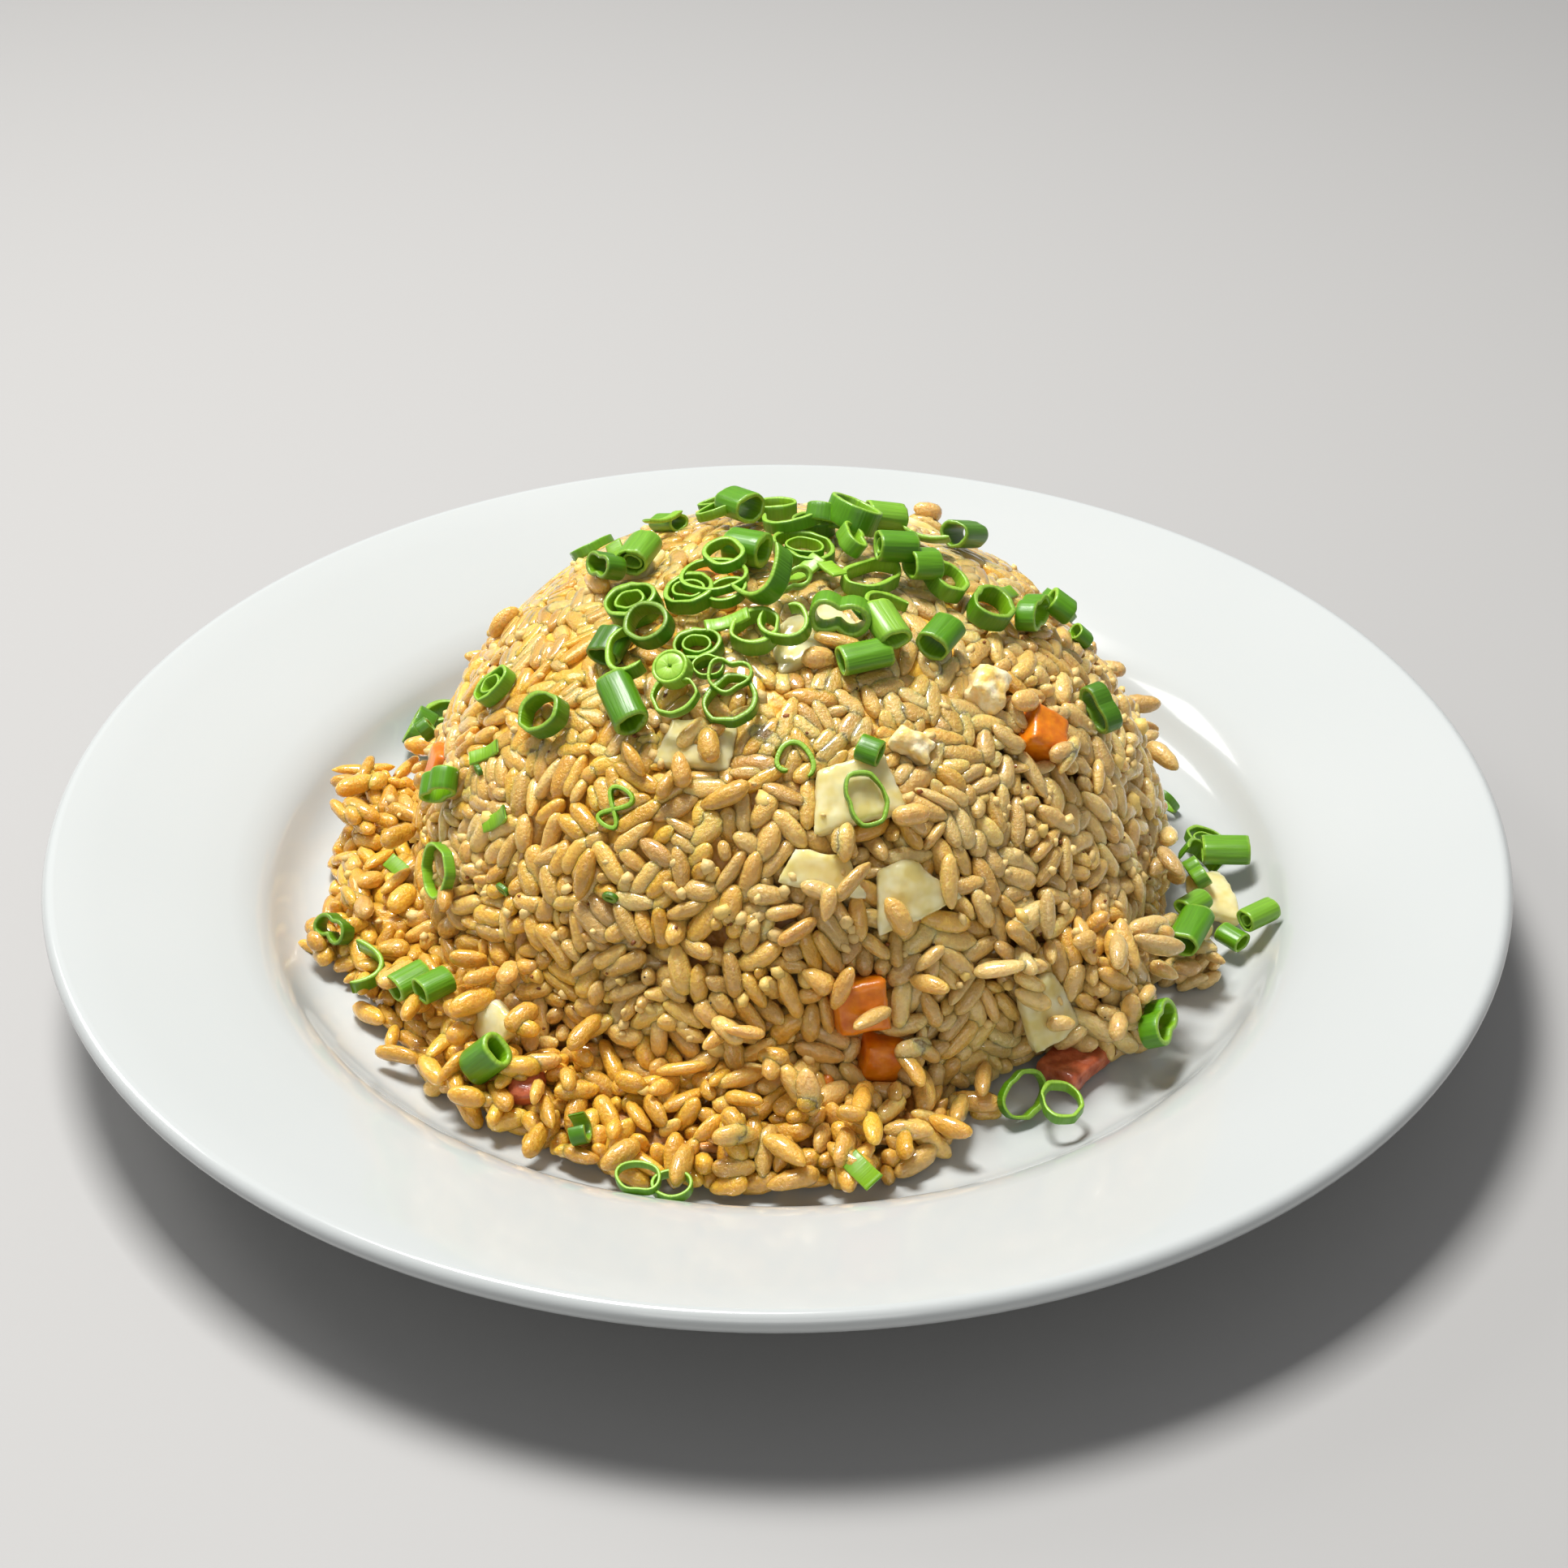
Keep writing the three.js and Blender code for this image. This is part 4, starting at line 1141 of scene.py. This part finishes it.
def lay_grains(surface, field, finish):
    """Single grains on top: over the diced pieces, here and there on the rice, and on the plate."""
    frames = []
    for azimuth, down, number, spread in COVERED:
        for _ in range(number):
            matrix = dome_frame(azimuth, down)
            matrix[:3, 3] += matrix[:3, :2] @ DRAW.normal(0, spread / 2, 2)
            frames.append(matrix)
    frames += random_spots(16)
    while len(frames) < LAID_GRAINS:
        angle, distance = DRAW.uniform(0, 2 * math.pi), DRAW.uniform(71, 92)
        x, y = DOME_CENTRE[0] + distance * math.cos(angle), DOME_CENTRE[1] + distance * math.sin(angle)
        near = field.at(np.array([[x, y, FLOOR_HEIGHT + 1.5]]))[0][0]
        toe = field.at(np.array([[x, y, FLOOR_HEIGHT + 8.0]]))[0][0]
        on_bank = near < 0 and toe > -6 and toe < 6
        beside = 0 < near < DRAW.exponential(1.3)
        if on_bank and DRAW.random() < 0.5 or beside:
            frames.append(plate_frame(x, y))
    number = len(frames)
    turn = DRAW.uniform(0, 2 * math.pi, number)
    lift = DRAW.normal(0, 0.12, number)
    lie = np.stack([np.cos(turn), np.sin(turn), lift], 1)
    laid_grains = SimpleNamespace(
        radius=DRAW.uniform(GRAIN_RADIUS[0] * 0.85, GRAIN_RADIUS[1], number),
        half=DRAW.uniform(GRAIN_HALF[0] * 0.5, GRAIN_HALF[1], number),
        centre=np.array([matrix[:3, 3] for matrix in frames]),
        axis=unit(np.array([matrix[:3, :3] @ way for matrix, way in zip(frames, lie)])),
    )
    sides, rings = FINE_GRAIN
    shape = grain_points(laid_grains, np.arange(number), sides, rings)
    for k, matrix in enumerate(frames):
        way = -matrix[:3, 2]
        shape[k] += way * surface.fall(shape[k], way, 1.0)
        if k % 4 == 0:
            surface.include(shape[k], grain_faces(1, sides, rings))
    tint = np.repeat(grain_colours(laid_grains.centre), shape.shape[1], axis=0)
    faces = grain_faces(number, sides, rings)
    mesh_object("rice_on_top", shape.reshape(-1, 3), faces, finish, tint)


def scatter_bits(surface, field):
    """Broken bits of rice and egg, browned crumbs and pepper, each an uneven little lump."""
    lump = bpy.data.meshes.new("lump")
    builder = bmesh.new()
    bmesh.ops.create_icosphere(builder, subdivisions=1, radius=1.0)
    builder.to_mesh(lump)
    builder.free()
    ball, ball_faces = mesh_arrays(lump)
    ball = unit(ball)
    bpy.data.meshes.remove(lump)
    kinds = [
        ("rice_bits", 420, (0.6, 1.35), PALE_GRAIN * 0.94, 0.85),
        ("egg_bits", 70, (0.8, 2.0), linear(250, 214, 120), 0.85),
        ("browned_crumbs", 120, (0.2, 0.55), linear(150, 84, 24), 0.7),
        ("pepper", 34, (0.16, 0.36), linear(60, 40, 18), 0.8),
    ]
    finish = crumb_material()
    for name, number, (small, large), colour, evenness in kinds:
        points, colours = [], []
        for matrix in random_spots(number):
            way = -matrix[:3, 2]
            size = DRAW.uniform(small, large) * DRAW.uniform(0.6, 1.3, 3)
            shape = ball * DRAW.uniform(0.75, 1.2, (len(ball), 1)) * size
            turn = np.linalg.qr(DRAW.normal(size=(3, 3)))[0]
            if np.linalg.det(turn) < 0:
                turn[:, 0] *= -1
            placed = shape @ turn.T + matrix[:3, 3]
            placed = placed + way * surface.fall(placed, way, size.mean(), samples=5)
            if field.at(placed.mean(0)[None])[0][0] > MISSED:
                continue
            points.append(placed)
            colours.append(np.tile(colour * DRAW.uniform(evenness, 1.05), (len(ball), 1)))
        shift = (np.arange(len(points)) * len(ball))[:, None, None]
        faces = (ball_faces + shift).reshape(-1, 3)
        tint = np.minimum(np.concatenate(colours), 1)
        mesh_object(name, np.concatenate(points), faces, finish, tint)


# ---- stage, camera and light --------------------------------------------------------------------

LENS = 59.09  # focal length in mm
CAMERA_PLACE = (0.0012, -0.3988, 0.3022)  # in metres
CAMERA_DOWN = 34.33  # degrees below level
LIT_PLACE = (0, 0, 0.03)  # what the lights face, in metres


def make_stage():
    floor_mesh = bpy.data.meshes.new("floor")
    reach = 3.0
    corners = [(-reach, -reach, 0), (reach, -reach, 0), (reach, reach, 0), (-reach, reach, 0)]
    floor_mesh.from_pydata(corners, [], [(0, 1, 2, 3)])
    shader = Shader("pale_floor", 0.6)
    shader.colour((0.36, 0.355, 0.35, 1))
    floor_mesh.materials.append(shader.material)
    new_object("floor", floor_mesh)


def make_camera():
    camera = bpy.data.cameras.new("camera")
    camera.sensor_width = 36.0
    camera.lens = LENS
    holder = new_object("camera", camera)
    holder.location = CAMERA_PLACE
    holder.rotation_euler = (math.radians(90 - CAMERA_DOWN), 0, 0)
    bpy.context.scene.camera = holder


def make_light(name, place, size, power, colour):
    """An area light that faces the dome."""
    light = bpy.data.lights.new(name, "AREA")
    light.shape = "RECTANGLE"
    light.size, light.size_y = size
    light.energy = power
    light.color = colour
    holder = new_object(name, light)
    holder.location = place
    holder.rotation_euler = (Vector(LIT_PLACE) - Vector(place)).to_track_quat("-Z", "Y").to_euler()


def make_lighting():
    make_light("overhead", (-0.22, 0.26, 1.1), (0.34, 0.34), 20.0, (1.0, 0.99, 0.97))
    make_light("window", (-0.8, 0.5, 0.8), (0.4, 0.4), 3.0, (1.0, 0.985, 0.96))
    make_light("fill", (0.0, -1.2, 0.8), (0.8, 0.6), 2.0, (1.0, 0.99, 0.97))
    world = bpy.data.worlds.new("studio")
    world.use_nodes = True
    sky = world.node_tree.nodes["Background"].inputs
    sky["Color"].default_value = (0.97, 0.98, 1.0, 1)
    sky["Strength"].default_value = 0.29
    bpy.context.scene.world = world
    bpy.context.scene.view_settings.view_transform = "Standard"


make_camera()
make_stage()
make_lighting()
laid = Surface()
make_plate(laid)
outline_points, outline_triangles = rounded_copy("rice_mound", 1.4, 6)
heap = HeapField(outline_points, outline_triangles)
grain_finish = rice_material()
make_rice(outline_points, outline_triangles, heap, grain_finish, laid)
make_dice(laid)
lay_grains(laid, heap, grain_finish)
scatter_bits(laid, heap)
make_leaves(laid)
